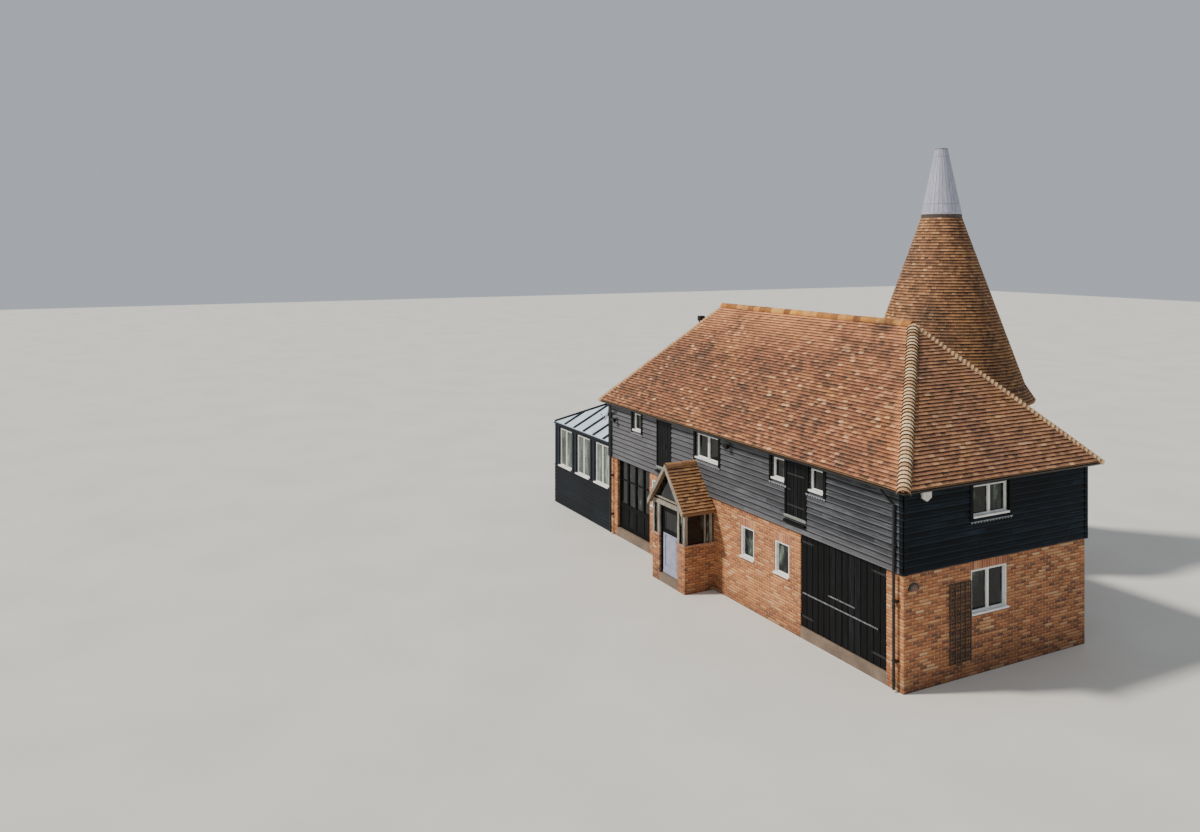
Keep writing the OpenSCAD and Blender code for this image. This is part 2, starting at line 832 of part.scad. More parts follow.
// One downpipe: an outlet under the gutter, a swan-neck back to the wall, the pipe and its brackets
module downpipe(outlet_x, x) {
    wall_y = -half_w - oversail - downpipe_gap - downpipe_r;
    gutter_y = -gutter_w - gutter_r;
    neck_top = [outlet_x, gutter_y, gutter_z - gutter_r - downpipe_r];
    neck_low = [x, wall_y, neck_top.z - neck_h];
    translate(neck_top) cylinder(h = gutter_r, r = downpipe_r);
    rod(neck_low, neck_top, downpipe_r);
    for (p = [neck_low, neck_top]) translate(p) sphere(r = downpipe_r + knob);
    translate([x, wall_y, downpipe_foot]) cylinder(h = neck_low.z - downpipe_foot, r = downpipe_r);
    for (z = [brick_h / 4, brick_h * 3 / 4, brick_h + board_h / 3])
        slab(x - 2 * downpipe_r, x + 2 * downpipe_r, wall_y, -half_w - (z < brick_h ? 0 : oversail),
            z, z + bracket_h);
}

module downpipes() {
    color("black") for (a = [0, 180]) rotate([0, 0, a]) difference() {
        union() {
            downpipe(near(outlet_in), near(downpipe_in));
            downpipe(far(outlet_in), far(downpipe_in));
        }
        translate([0, -gutter_w - gutter_r, gutter_z]) rotate([0, 90, 0])
            cylinder(h = big, r = gutter_r, center = true);
    }
}

module lower_window_frames() {
    color("white") {
        on_front() for (w = concat([porch_window], cart_windows)) window_frame(w, 0);
        on_near_end() window_frame(end_lower, 0);
        on_back() for (w = back_lower) window_frame(w, 0);
        on_roundel() window_frame(round_windows[0], -round_sag);
    }
}

module upper_window_frames() {
    color("white") {
        on_front() for (w = front_upper) window_frame(w, oversail);
        on_near_end() window_frame(end_upper, oversail);
        on_back() for (w = back_upper) window_frame(w, oversail);
        on_far_end() window_frame(far_upper, oversail);
        on_roundel() window_frame(round_windows[1], -round_sag);
    }
}

// Panes of the porch, between its posts over the dwarf walls, and one in the gable over the tie beam
module porch_panes() {
    module pane(x0, x1, y0, y1) { slab(x0, x1, y0, y1, porch_post_foot, porch_head); }
    front = -porch_d + (post_w - glass_t) / 2;
    x0 = plate_mid - glass_t / 2;
    mullion_front = -porch_mullion_at - porch_mullion / 2;
    on_porch() both_sides() {
        pane(porch_inner + post_w, porch_half - post_w, front, front + glass_t);
        pane(x0, x0 + glass_t, -porch_d + post_w, mullion_front);
        pane(x0, x0 + glass_t, mullion_front + porch_mullion, -rear_post_out - post_w);
        pane(x0, x0 + glass_t, -rear_post_out, 0);
    }
    on_porch() translate([0, front + glass_t, 0]) rotate([90, 0, 0]) linear_extrude(glass_t)
        polygon([[-plate_mid, plate_top], [plate_mid, plate_top], [0, porch_under(0)]]);
}

module window_glass() {
    color("lightblue") {
        porch_panes();
        on_front() for (w = concat([porch_window], cart_windows)) window_panes(w, 0);
        on_near_end() window_panes(end_lower, 0);
        on_back() for (w = back_lower) window_panes(w, 0);
        on_front() for (w = front_upper) window_panes(w, oversail);
        on_near_end() window_panes(end_upper, oversail);
        on_back() for (w = back_upper) window_panes(w, oversail);
        on_far_end() window_panes(far_upper, oversail);
        on_roundel() for (w = round_windows) window_panes(w, -round_sag);
    }
}

// One plank door fixed in its opening, with ledges behind it and a landing board under its foot
module loft_leaf(d) {
    back = -oversail + cart_back + plank_t;
    x0 = d[0] - loft_door_w / 2;
    x1 = d[0] + loft_door_w / 2;
    slab(x0, x1, back - plank_t, back, d[1], head_z);
    for (z = [d[1] + ledge_w, head_z - 2 * ledge_w])
        slab(x0, x1, back, back + ledge_t, z, z + ledge_w);
    slab(x0 - bar_w, x1 + bar_w, -oversail - landing_out, -oversail,
        d[1] - landing_down - landing_h, d[1] - landing_down);
}

module loft_doors() {
    color("black") on_front() {
        loft_leaf(loft_door);
        loft_leaf(taking_door);
    }
}

// A sloping brace behind the planks, from one ledge up to the next
module brace(p, q) {
    translate([0, leaf_back + ledge_t, 0]) rotate([90, 0, 0]) linear_extrude(ledge_t)
        polygon([p, p + [ledge_w, 0], q, q - [ledge_w, 0]]);
}

// Foot of the knuckle on each strap
function knuckle_z(z) = z - (knuckle_h - strap_w) / 2;

// One leaf of the cart doors, drawn as the left one with its jamb at X = 0 and the brick face at Y = 0
module cart_leaf(bar_from) {
    ledges = [leaf_z0 + ledge_up, (leaf_z0 + leaf_z1 - ledge_w) / 2, leaf_z1 - ledge_up - ledge_w];
    difference() {
        union() {
            slab(door_gap, leaf_x1, cart_back, leaf_back, leaf_z0, leaf_z1);
            for (z = ledges)
                slab(door_gap + ledge_in, leaf_x1 - ledge_in, leaf_back, leaf_back + ledge_t,
                    z, z + ledge_w);
            for (i = [0, 1])
                brace([door_gap + 2 * ledge_in, ledges[i] + ledge_w],
                    [leaf_x1 - 2 * ledge_in, ledges[i + 1]]);
            for (z = strap_z) {
                slab(pivot_x, strap_l, strap_y, cart_back, z, z + strap_w);
                translate([pivot_x, pivot_y, knuckle_z(z)]) cylinder(h = knuckle_h, r = knuckle_r);
                slab(pivot_x, pivot_x + knuckle_r, pivot_y, cart_back,
                    knuckle_z(z), knuckle_z(z) + knuckle_h);
            }
            slab(bar_from, leaf_x1, strap_y, cart_back, bar_z, bar_z + strap_w);
            slab(leaf_x1 - short_bar_l, leaf_x1, strap_y, cart_back, bar_z + short_bar_up,
                bar_z + short_bar_up + strap_w);
        }
        for (z = strap_z) translate([pivot_x, pivot_y, knuckle_z(z) - eps])
            cylinder(h = knuckle_h + 2 * eps, r = pin_r + pin_gap);
    }
}

module cart_door_left() {
    color("black") translate([cart_x0, -half_w, 0]) cart_leaf(bar_end);
}

module cart_door_right() {
    color("black") translate([cart_x1, -half_w, 0]) mirror([1, 0, 0]) cart_leaf(bar_end + bar_short_by);
}

// Pins that carry the strap hinges, each on an arm let into the brick jamb
module hinge_pins() {
    for (z = strap_z) {
        translate([pivot_x, pivot_y, knuckle_z(z) - pin_arm_t])
            cylinder(h = knuckle_h + 2 * pin_arm_t, r = pin_r);
        slab(0, pivot_x + pin_r, pivot_y - pin_r, pivot_y + pin_r,
            knuckle_z(z) - pin_arm_t, knuckle_z(z) - seat_gap);
    }
}

module cart_hinge_pins() {
    color("black") {
        translate([cart_x0, -half_w, 0]) hinge_pins();
        translate([cart_x1, -half_w, 0]) mirror([1, 0, 0]) hinge_pins();
    }
}

module on_door() { translate([porch_x - porch_inner, -half_w - porch_d, 0]) children(); }

// Frame of the front door in the front of the porch, with two hinge pins behind it
module front_door_frame() {
    color("ivory") on_door() {
        difference() {
            slab(0, front_w, reveal, frame_back, porch_floor_h, porch_head);
            slab(bar_w, front_w - bar_w, reveal - eps, frame_back + eps, porch_floor_h - eps, porch_head - bar_w);
        }
        for (z = door_hinge_z) {
            translate([door_pivot_x, door_pivot_y, z - pin_arm_t])
                cylinder(h = knuckle_h + 2 * pin_arm_t, r = door_pin_r);
            slab(door_pivot_x - 2 * pin_arm_t, door_pivot_x + door_pin_r, frame_back,
                door_pivot_y + door_pin_r, z - pin_arm_t, z - seat_gap);
        }
    }
}

// Half-glazed door with a sunk panel below and two knuckles on its back
module front_door() {
    color("lightsteelblue") on_door() difference() {
        union() {
            slab(leaf_from, leaf_to, door_face, door_back, porch_floor_h + door_gap, leaf_top);
            for (z = door_hinge_z) {
                translate([door_pivot_x, door_pivot_y, z]) cylinder(h = knuckle_h, r = door_knuckle_r);
                slab(door_pivot_x, leaf_from + strap_w, door_back, door_pivot_y, z, z + knuckle_h);
            }
        }
        slab(leaf_from + stile_w, leaf_to - stile_w, door_face - eps, door_back + eps,
            door_glass_z, leaf_top - stile_w);
        slab(leaf_from + stile_w, leaf_to - stile_w, door_face - eps, door_face + panel_sunk,
            porch_floor_h + 2 * stile_w, door_glass_z - stile_w);
        for (z = door_hinge_z) translate([door_pivot_x, door_pivot_y, z - eps])
            cylinder(h = knuckle_h + 2 * eps, r = door_pin_r + pin_gap);
    }
}

module front_door_glass() {
    face = (door_face + door_back - glass_t) / 2;
    color("lightblue") on_door()
        slab(leaf_from + stile_w, leaf_to - stile_w, face, face + glass_t, door_glass_z, leaf_top - stile_w);
}

// Fills each light of the bay from one height to another
module bay_fill(y0, y1, z0, z1) {
    for (i = [0 : bay_lights - 1]) translate([bay_x0 + bay_bar + i * (bay_light_w + bay_bar), 0, 0])
        slab(0, bay_light_w, y0, y1, z0, z1);
}

// Screen of posts and rails, with sunk boards below and glass above
module bay_screen() {
    color("black") on_front() difference() {
        slab(bay_x0, bay_x1, bay_back, bay_back + bay_bar, slab_h, brick_h);
        bay_fill(bay_back - eps, bay_back + bay_bar + eps, bay_rail, brick_h - bay_bar);
        bay_fill(bay_back - eps, bay_back + bay_bar / 3, slab_h + bay_bar, bay_rail - bay_bar);
    }
}

module bay_glass() {
    face = bay_back + (bay_bar - glass_t) / 2;
    color("lightblue") on_front() bay_fill(face, face + glass_t, bay_rail, brick_h - bay_bar);
}

module on_porch() { translate([porch_x, -half_w, 0]) children(); }
module both_sides() { for (s = [0, 1]) mirror([s, 0, 0]) children(); }

// Plan of one dwarf wall with its return up to the door frame, grown by a given amount elsewhere
module dwarf_plan(out) {
    edge = porch_half + out;
    inside = porch_half - dwarf_t - out;
    front = -porch_d - out;
    behind = -porch_d + dwarf_t + out;
    polygon([[edge, 0], [edge, front], [porch_inner, front], [porch_inner, behind], [inside, behind], [inside, 0]]);
}

module porch_walls() {
    color("peru") on_porch() both_sides() linear_extrude(dwarf_h) dwarf_plan(0);
}

module porch_coping() {
    color("wheat") on_porch() both_sides()
        translate([0, 0, dwarf_h]) linear_extrude(coping_t) dwarf_plan(coping_out);
}

// Underside of the porch roof at a distance from its middle
function porch_under(x) = plate_top + (plate_mid - x) * porch_slope;

module porch_plates() {
    both_sides() slab(porch_half - post_w, porch_half, -porch_d, 0, porch_head, plate_top);
    slab(-porch_half + post_w, porch_half - post_w, -porch_d, -porch_d + post_w, porch_head, plate_top);
}

// A chevron as deep as given, its top lifted above the underside of the porch roof
module porch_chevron(depth, lift) {
    foot = porch_half + porch_eave;
    polygon([[foot, porch_under(foot) + lift], [0, porch_under(0) + lift], [-foot, porch_under(foot) + lift],
        [-foot, porch_under(foot) + lift - depth], [0, porch_under(0) + lift - depth],
        [foot, porch_under(foot) + lift - depth]]);
}

// Posts on the dwarf walls, plates with a tie beam, and bargeboards across the gable
module porch_frame() {
    module upright(x0, w, y0, d) { slab(x0, x0 + w, y0, y0 + d, porch_post_foot, porch_head); }
    color("antiquewhite") on_porch() {
        porch_plates();
        both_sides() {
            upright(porch_half - post_w, post_w, -porch_d, post_w);
            upright(porch_inner, post_w, -porch_d, post_w);
            upright(porch_half - post_w, post_w, -rear_post_out - post_w, post_w);
            upright(plate_mid - porch_mullion / 2, porch_mullion, -porch_mullion_at - porch_mullion / 2, porch_mullion);
        }
        translate([0, -porch_d - verge_out, 0]) rotate([90, 0, 0])
            linear_extrude(barge_t) porch_chevron(porch_roof_t + barge_down, porch_roof_t);
    }
}

module porch_roof() {
    color("indianred") on_porch() difference() {
        translate([0, -oversail, 0]) rotate([90, 0, 0])
            linear_extrude(porch_d + verge_out - oversail) porch_chevron(porch_roof_t, porch_roof_t);
        porch_plates();
    }
}

// Window i of one side of the garden room
function garden_window_w(side) =
    (side[0] - side[1] - side[2] - (garden_bays - 1) * garden_post) / garden_bays;
function garden_window(side, i) = [
    side[1] + i * (garden_window_w(side) + garden_post) + garden_window_w(side) / 2,
    plinth_h, garden_window_w(side), garden_window_h, 2];

// Puts what is drawn along X from 0, with its outside towards -Y, on the three open sides
module garden_on_front() { translate([garden_x0, garden_y0, 0]) children(); }
module garden_on_back() {
    translate([0, garden_y0 + garden_y1, 0]) mirror([0, 1, 0]) garden_on_front() children();
}
module garden_on_end() { translate([garden_x0, garden_y1, 0]) rotate([0, 0, -90]) children(); }

// Three walls from one height to another, open towards the house
module garden_ring(z0, z1, x1) {
    difference() {
        slab(garden_x0, x1, garden_y0, garden_y1, z0, z1);
        slab(garden_x0 + garden_t, x1 + eps, garden_y0 + garden_t, garden_y1 - garden_t,
            z0 - eps, z1 + eps);
    }
}

module garden_plinth() { color("saddlebrown") garden_ring(0, plinth_h, -half_l); }

module garden_frame() {
    color("darkslategray") difference() {
        garden_ring(plinth_h, garden_eave, -half_l);
        slab(garden_x1, 0, garden_y0 - eps, garden_y1 + eps, brick_h, garden_eave + eps);
        for (i = [0 : garden_bays - 1]) {
            garden_on_front() window_hole(garden_window(garden_front, i));
            garden_on_back() window_hole(garden_window(garden_front, i));
            garden_on_end() window_hole(garden_window(garden_end, i));
        }
    }
}

module garden_windows() {
    color("white") for (i = [0 : garden_bays - 1]) {
        garden_on_front() window_frame(garden_window(garden_front, i), garden_window_out);
        garden_on_back() window_frame(garden_window(garden_front, i), garden_window_out);
        garden_on_end() window_frame(garden_window(garden_end, i), garden_window_out);
    }
}

module garden_glass() {
    color("lightblue") for (i = [0 : garden_bays - 1]) {
        garden_on_front() window_panes(garden_window(garden_front, i), garden_window_out);
        garden_on_back() window_panes(garden_window(garden_front, i), garden_window_out);
        garden_on_end() window_panes(garden_window(garden_end, i), garden_window_out);
    }
}

// The glass roof as a solid, hipped at its far end and lowered by d
module garden_form(d) {
    low = garden_half / 4;
    drop = low / tan(garden_pitch);
    translate([0, 0, garden_eave + roof_glass_t + 2 * abut_gap - d]) intersection() {
        along_x() translate([garden_mid, 0])
            polygon([[-garden_half - drop, -low], [garden_half + drop, -low], [0, garden_rise]]);
        along_y() polygon([[garden_x1, -low], [garden_x1, garden_rise],
            [garden_x0 + garden_half, garden_rise], [garden_x0 - drop, -low]]);
    }
}

// What lies between two depths below the top of the glass, above a height and within the walls
module garden_shell(d0, d1, lowest) {
    intersection() {
        difference() {
            garden_form(d0);
            garden_form(d1);
        }
        slab(garden_x0, garden_x1, garden_y0, garden_y1, lowest, big);
    }
}

module garden_roof_glass() {
    color("aliceblue") garden_shell(0, roof_glass_t, garden_eave + abut_gap);
}

// Plan of the rafters: on the long slopes, on the hipped end, along the hips, the ridge and the house
module rafter_plan() {
    corner = [garden_x0, garden_y0];
    hip_head = [garden_x0 + garden_half, garden_mid];
    intersection() {
        union() for (x = [garden_x1 - first_rafter : -rafter_gap : garden_x0])
            translate([x - rafter_w / 2, garden_y0]) square([rafter_w, garden_d]);
        polygon([corner, [garden_x1, garden_y0], [garden_x1, garden_y1], [garden_x0, garden_y1], hip_head]);
    }
    intersection() {
        union() for (y = [0 : rafter_gap : garden_half], s = [-1, 1])
            translate([garden_x0, garden_mid + s * y - rafter_w / 2]) square([garden_half, rafter_w]);
        polygon([corner, hip_head, [garden_x0, garden_y1]]);
    }
    for (a = [135, 225]) translate(hip_head) rotate(a) translate([0, -rafter_w / 2])
        square([garden_half * sqrt(2), rafter_w]);
    translate(hip_head - [0, rafter_w / 2]) square([garden_x1 - hip_head.x, rafter_w]);
    translate([garden_x1 - rafter_w, garden_y0]) square([rafter_w, garden_d]);
}

module garden_rafters() {
    color("darkslategray") intersection() {
        garden_shell(roof_glass_t, roof_glass_t + rafter_d, garden_eave);
        linear_extrude(big) rafter_plan();
    }
}

// One quarter of the round wall, counted from the one that faces +Y
module roundel_quarter(k) {
    color("peru") difference() {
        translate([round_at, round_y, 0]) rotate([0, 0, 90 * k + 45])
            rotate_extrude(angle = 90) translate([round_in, 0]) square([round_t, round_h]);
        slab(-half_l, half_l, 0, half_w, -eps, brick_h);
        slab(-half_l, half_l, 0, half_w + oversail, brick_h, wall_top);
        on_roundel() for (w = round_windows) window_hole(w);
    }
}
module roundel_wall_1() { roundel_quarter(0); }
module roundel_wall_2() { roundel_quarter(1); }
module roundel_wall_3() { roundel_quarter(2); }
module roundel_wall_4() { roundel_quarter(3); }

// Bell-cast cone, hollow, standing on the round wall
module roundel_roof() {
    foot = round_h + seat_gap;
    color("chocolate") translate([round_at, round_y, 0]) rotate_extrude() polygon([
        [round_in, foot], [cone_foot_r, foot], [cone_foot_r, round_h + tile_edge], [kick_r, round_h + kick_h],
        [cone_top_r, cone_top], [cone_in_r, cone_top],
        [round_in, cone_top - (round_in - cone_in_r) / cone_slope]]);
}

// Fixed curb on the top of the cone, with crossed beams that carry the spindle
module cowl_seat() {
    reach = cone_in_r + curb_out;
    beam = 3 * spindle_r;
    color("gray") translate([round_at, round_y, cone_top]) {
        difference() {
            cylinder(h = curb_h, r = cone_top_r + curb_out);
            translate([0, 0, -eps]) cylinder(h = curb_h + 2 * eps, r = cone_in_r);
        }
        for (a = [0, 90]) rotate([0, 0, a])
            slab(-reach, reach, -beam / 2, beam / 2, 0, curb_h - spindle_r);
        cylinder(h = curb_h + cowl_gap + spindle_top, r = spindle_r);
    }
}

// Turns of the cowl's open side and of its cross arms
cowl_open_at = 135;
cowl_arm_at = 30;

// Wedge that is cut out of the lee side of the cowl
module cowl_opening() {
    half = cowl_open_angle / 2;
    reach = 2 * cowl_r;
    edge = [reach * cos(half), reach * sin(half)];
    rotate([0, 0, cowl_open_at]) translate([0, 0, cowl_sill])
        linear_extrude(cowl_h - cowl_sill - cowl_over)
            polygon([[0, 0], [edge.x, -edge.y], [reach, 0], edge]);
}

// Tapered shell of boards with a cap, an upper bearing on the spindle and a hub on arms below
module cowl() {
    arm_z = cowl_t + (hub_h - arm_w) / 2;
    arm_reach = cowl_r - cowl_lean * (arm_z + arm_w) - cowl_t / 4;
    into_cap = cowl_h + cowl_cap_t / 2;
    color("whitesmoke") translate([round_at, round_y, cowl_z]) difference() {
        union() {
            difference() {
                rotate_extrude() polygon([[cowl_r - cowl_t, 0], [cowl_r, 0], [cowl_top_r, cowl_h],
                    [cowl_top_r, into_cap], [cowl_top_r - cowl_t, into_cap], [cowl_top_r - cowl_t, cowl_h]]);
                cowl_opening();
            }
            translate([0, 0, cowl_h]) cylinder(h = cowl_cap_t, r = cowl_top_r + cowl_cap_out);
            translate([0, 0, spindle_top - hub_h]) cylinder(h = into_cap + hub_h - spindle_top, r = hub_r);
            translate([0, 0, cowl_t]) cylinder(h = hub_h, r = hub_r);
            for (a = [0, 90]) rotate([0, 0, a + cowl_arm_at])
                slab(-arm_reach, arm_reach, -arm_w / 2, arm_w / 2, arm_z, arm_z + arm_w);
        }
        translate([0, 0, -eps]) cylinder(h = eps + spindle_top + seat_gap, r = spindle_r + pin_gap);
    }
}

// Flue with its cap, cut off on the slope of the far hip
module stove_flue() {
    top = flue_foot + flue_h;
    color("black") difference() {
        translate([flue_x, flue_aside, 0]) {
            translate([0, 0, flue_foot - 3 * flue_r]) cylinder(h = flue_h + 3 * flue_r, r = flue_r);
            translate([0, 0, top - flue_cap_h]) cylinder(h = flue_cap_h, r = flue_r + flue_cap_out);
        }
        roof_form();
    }
}

// Section of the dish, a shallow parabola of a given thickness
dish_depth = dish_r / 5;
function dish_line(up, steps) =
    [for (i = [0 : steps]) [dish_r * i / steps, up + dish_depth * pow(i / steps, 2)]];
function turned(points) = [for (i = [len(points) - 1 : -1 : 0]) points[i]];

// Dish on a bent arm from a plate on the far end wall, with a feed head before it
module satellite_dish() {
    sheet_t = dish_r / 20;
    wall_x = -half_l - oversail;
    dish_at = [wall_x - dish_out, -half_w + dish_r / 4, wall_top - dish_down];
    elbow = dish_at + [0, dish_r, 0];
    feed_foot = [0, -dish_r * 3 / 4, dish_r / 8];
    feed_head = [0, -dish_r / 4, dish_r * 6 / 5];
    color("gainsboro") {
        translate(dish_at) rotate([70, 0, -25]) {
            rotate_extrude() polygon(concat(dish_line(0, 6), turned(dish_line(sheet_t, 6))));
            rod(feed_foot, feed_head, dish_tube_r / 2);
            rod(feed_head, feed_head + [0, dish_r / 6, -dish_r / 4], dish_tube_r * 3 / 2);
        }
        rod(dish_at, elbow, dish_tube_r);
        translate(elbow) sphere(r = dish_tube_r + knob);
        rod(elbow, [wall_x - sheet_t / 2, elbow.y, elbow.z], dish_tube_r);
        slab(wall_x - sheet_t, wall_x, elbow.y - 5 * dish_tube_r, elbow.y + 5 * dish_tube_r,
            elbow.z - 6 * dish_tube_r, elbow.z + 6 * dish_tube_r);
    }
}

// Bare shield-shaped box under the eaves board
module alarm_box() {
    half = alarm_w / 2;
    color("white") on_near_end() translate([-half_w + alarm_in, -oversail, wall_top - alarm_h - abut_gap])
        rotate([90, 0, 0]) linear_extrude(alarm_d)
            polygon([[0, 0], [half, alarm_h / 3], [half, alarm_h], [-half, alarm_h], [-half, alarm_h / 3]]);
}

// Half-round plate with a bare face
module wall_plate() {
    color("darkgray") on_near_end() translate([-half_w + wall_plate_in, 0, brick_h - wall_plate_down])
        rotate([90, 0, 0]) linear_extrude(wall_plate_t) intersection() {
            circle(r = wall_plate_r);
            translate([-wall_plate_r, 0]) square([2 * wall_plate_r, wall_plate_r]);
        }
}

// Laths crossed on the end wall, the level ones against the bricks
module trellis() {
    uprights = 5;
    cross = 11;
    pitch_x = (trellis_w - lath) / (uprights - 1);
    pitch_z = (trellis_h - lath) / (cross - 1);
    x0 = end_window_at - wide_w / 2 - trellis_gap - trellis_w;
    color("saddlebrown") on_near_end() translate([x0, 0, slab_h + trellis_up]) {
        for (i = [0 : uprights - 1])
            slab(i * pitch_x, i * pitch_x + lath, -2 * lath, -lath, 0, trellis_h);
        for (i = [0 : cross - 1])
            slab(0, trellis_w, -lath, 0, i * pitch_z, i * pitch_z + lath);
    }
}

ground_slab();
front_pier_left();
front_wall_left();
front_door_lintel();
front_wall_middle();
front_pier_right();
near_end_wall();
back_wall();
far_end_wall();
upper_floors();
upper_front_wall();
upper_near_end_wall();
upper_back_wall();
upper_far_end_wall();
main_roof();
ridge_and_hip_tiles();
gutters();
downpipes();
lower_window_frames();
upper_window_frames();
window_glass();
loft_doors();
cart_hinge_pins();
cart_door_left();
cart_door_right();
front_door_frame();
front_door();
front_door_glass();
bay_screen();
bay_glass();
porch_walls();
porch_coping();
porch_frame();
porch_roof();
garden_plinth();
garden_frame();
garden_windows();
garden_glass();
garden_rafters();
garden_roof_glass();
roundel_wall_1();
roundel_wall_2();
roundel_wall_3();
roundel_wall_4();
roundel_roof();
cowl_seat();
cowl();
stove_flue();
satellite_dish();
alarm_box();
wall_plate();
trellis();
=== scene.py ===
import bpy
import bmesh
import math
import random
from mathutils import Matrix, Vector


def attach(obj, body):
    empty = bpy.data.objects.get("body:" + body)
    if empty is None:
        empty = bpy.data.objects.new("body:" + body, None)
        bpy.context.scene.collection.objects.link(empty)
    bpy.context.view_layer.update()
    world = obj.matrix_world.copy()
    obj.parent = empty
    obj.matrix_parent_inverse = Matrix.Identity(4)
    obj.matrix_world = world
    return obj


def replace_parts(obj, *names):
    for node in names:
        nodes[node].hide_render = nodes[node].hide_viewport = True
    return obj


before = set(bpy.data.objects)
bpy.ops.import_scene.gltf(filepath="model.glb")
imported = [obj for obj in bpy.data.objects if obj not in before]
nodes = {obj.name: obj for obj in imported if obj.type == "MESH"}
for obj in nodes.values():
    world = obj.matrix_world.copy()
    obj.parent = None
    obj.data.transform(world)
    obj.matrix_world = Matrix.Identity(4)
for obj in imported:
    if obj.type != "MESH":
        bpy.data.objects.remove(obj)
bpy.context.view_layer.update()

# The camera: a drone's view from in front and past the near corner, level, with its lens shifted down.
# Its place and focal length were solved from the straight edges of the house.
camera = bpy.data.objects.new("camera", bpy.data.cameras.new("camera"))
bpy.context.collection.objects.link(camera)
camera.location = (23.228, -19.102, 10.055)
camera.rotation_euler = (math.radians(90), 0, math.radians(62.61))
camera.data.sensor_width = 36
camera.data.lens = 29.41
camera.data.shift_y = -0.1438
camera.data.clip_end = 300
bpy.context.scene.camera = camera


# The studio: a pale floor, a broad soft sun from the front left and a pale sky all round,
# as on a bright day with thin cloud.
def linear(hex_colour):
    """An sRGB colour written as six hex digits, turned to linear red, green, blue and alpha."""
    parts = [int(hex_colour[i:i + 2], 16) / 255 for i in (0, 2, 4)]
    return [p / 12.92 if p <= 0.04045 else ((p + 0.055) / 1.055) ** 2.4 for p in parts] + [1]


def fill(node, settings):
    """Sets a node's properties, sockets and ramp stops, and links each socket given a node or an output."""
    for name, value in settings.items():
        if isinstance(value, bpy.types.Node):
            value = next(o for o in value.outputs if o.enabled)
        if isinstance(value, bpy.types.NodeSocket):
            node.id_data.links.new(value, node.inputs[name])
        elif name == "stops":
            ramp = node.color_ramp
            while len(ramp.elements) < len(value):
                ramp.elements.new(0.5)
            for element, (place, colour) in zip(ramp.elements, value):
                element.position = place
                element.color = linear(colour) if isinstance(colour, str) else (colour, colour, colour, 1)
        elif isinstance(name, int) or not hasattr(node, name):
            node.inputs[name].default_value = linear(value) if isinstance(value, str) else value
        else:
            setattr(node, name, value)


def add(tree, kind, settings):
    """Adds a node with its settings and links. Every mix here is of two colours."""
    node = tree.nodes.new("ShaderNode" + kind)
    if kind == "Mix":
        node.data_type = "RGBA"
    fill(node, settings)
    return node


def new_material(name, roughness, metallic=0.0, also=None):
    """A material with its shader, and the Object coordinates that its pattern reads."""
    material = bpy.data.materials.new(name)
    material.use_nodes = True
    tree = material.node_tree
    shader = tree.nodes["Principled BSDF"]
    fill(shader, {"Roughness": roughness, "Metallic": metallic, **(also or {})})
    if not metallic:
        fill(shader, {"IOR": 1.5})
    return material, tree, shader, add(tree, "TexCoord", {}).outputs["Object"]


def surface(shader, colour, height=None, depth=0.0, strength=0.0):
    """Links a finish's colour to its shader, and the relief that a height gives it."""
    fill(shader, {"Base Color": colour})
    if height:
        fill(shader, {"Normal": add(shader.id_data, "Bump", {
            "Distance": depth, "Strength": strength, "Height": height})})


def washed(tree, under, pattern, span, colour, blend="MIX"):
    """Lays a colour over another, by a first share where a pattern is low and a last one where it is high."""
    low, high, first, last = span
    share = add(tree, "MapRange", {0: pattern, 1: low, 2: high, 3: first, 4: last})
    return add(tree, "Mix", {"blend_type": blend, 0: share, 6: under, 7: colour})


def finish(name, roughness, noise, stops, relief=(), stretch=None, film=None, tone=None, metallic=0.0, also=None):
    """A finish coloured by a noise, given as scale, detail and roughness, which stretch draws out into a grain.
    A tone adds a face attribute by a weight. Relief is a depth and a strength, and a brushed film has its own."""
    material, tree, shader, place = new_material(name, roughness, metallic, also)
    where = add(tree, "Mapping", {"Scale": stretch, "Vector": place}) if stretch else place
    grain = add(tree, "TexNoise", {**dict(zip(("Scale", "Detail", "Roughness"), noise)), "Vector": where})
    mixed = grain
    if tone:
        face = add(tree, "Attribute", {"attribute_name": tone[0]})
        mixed = add(tree, "Math", {"operation": "MULTIPLY_ADD", 0: face.outputs["Fac"], 1: tone[1], 2: grain})
    colour = add(tree, "ValToRGB", {"stops": stops, "Fac": mixed})
    height = add(tree, "TexNoise", {"Scale": film, "Detail": 2, "Vector": place}) if film else grain
    surface(shader, colour, height if relief else None, *relief)
    return material


def solid(bm, name, material):
    """Turns a drawing into an object in a finish."""
    mesh = bpy.data.meshes.new(name)
    bm.to_mesh(mesh)
    bm.free()
    mesh.materials.append(material)
    thing = bpy.data.objects.new(name, mesh)
    bpy.context.collection.objects.link(thing)
    return thing


bm = bmesh.new()
bmesh.ops.create_grid(bm, x_segments=1, y_segments=1, size=150)
bmesh.ops.translate(bm, verts=bm.verts, vec=(0, 0, -0.002))
solid(bm, "floor", finish("pale_studio_floor", 0.9, (0.3, 3), [(0.3, "D2CEC6"), (0.7, "DAD7D0")]))

sun = bpy.data.objects.new("sun", bpy.data.lights.new("sun", "SUN"))
sun.data.energy = 4.2
sun.data.angle = math.radians(6)
sun.data.color = (1.0, 0.95, 0.88)
sun.rotation_euler = Vector((-0.3, -0.66, 0.72)).to_track_quat("Z", "Y").to_euler()
bpy.context.collection.objects.link(sun)

world = bpy.data.worlds.new("pale_sky")
bpy.context.scene.world = world
world.use_nodes = True
fill(world.node_tree.nodes["Background"], {"Color": "DDE5EE", "Strength": 0.6})

# The kiln's middle, and the outside radius of its round wall
kiln_x, kiln_y, kiln_r = -0.09, 5.55, 2.62


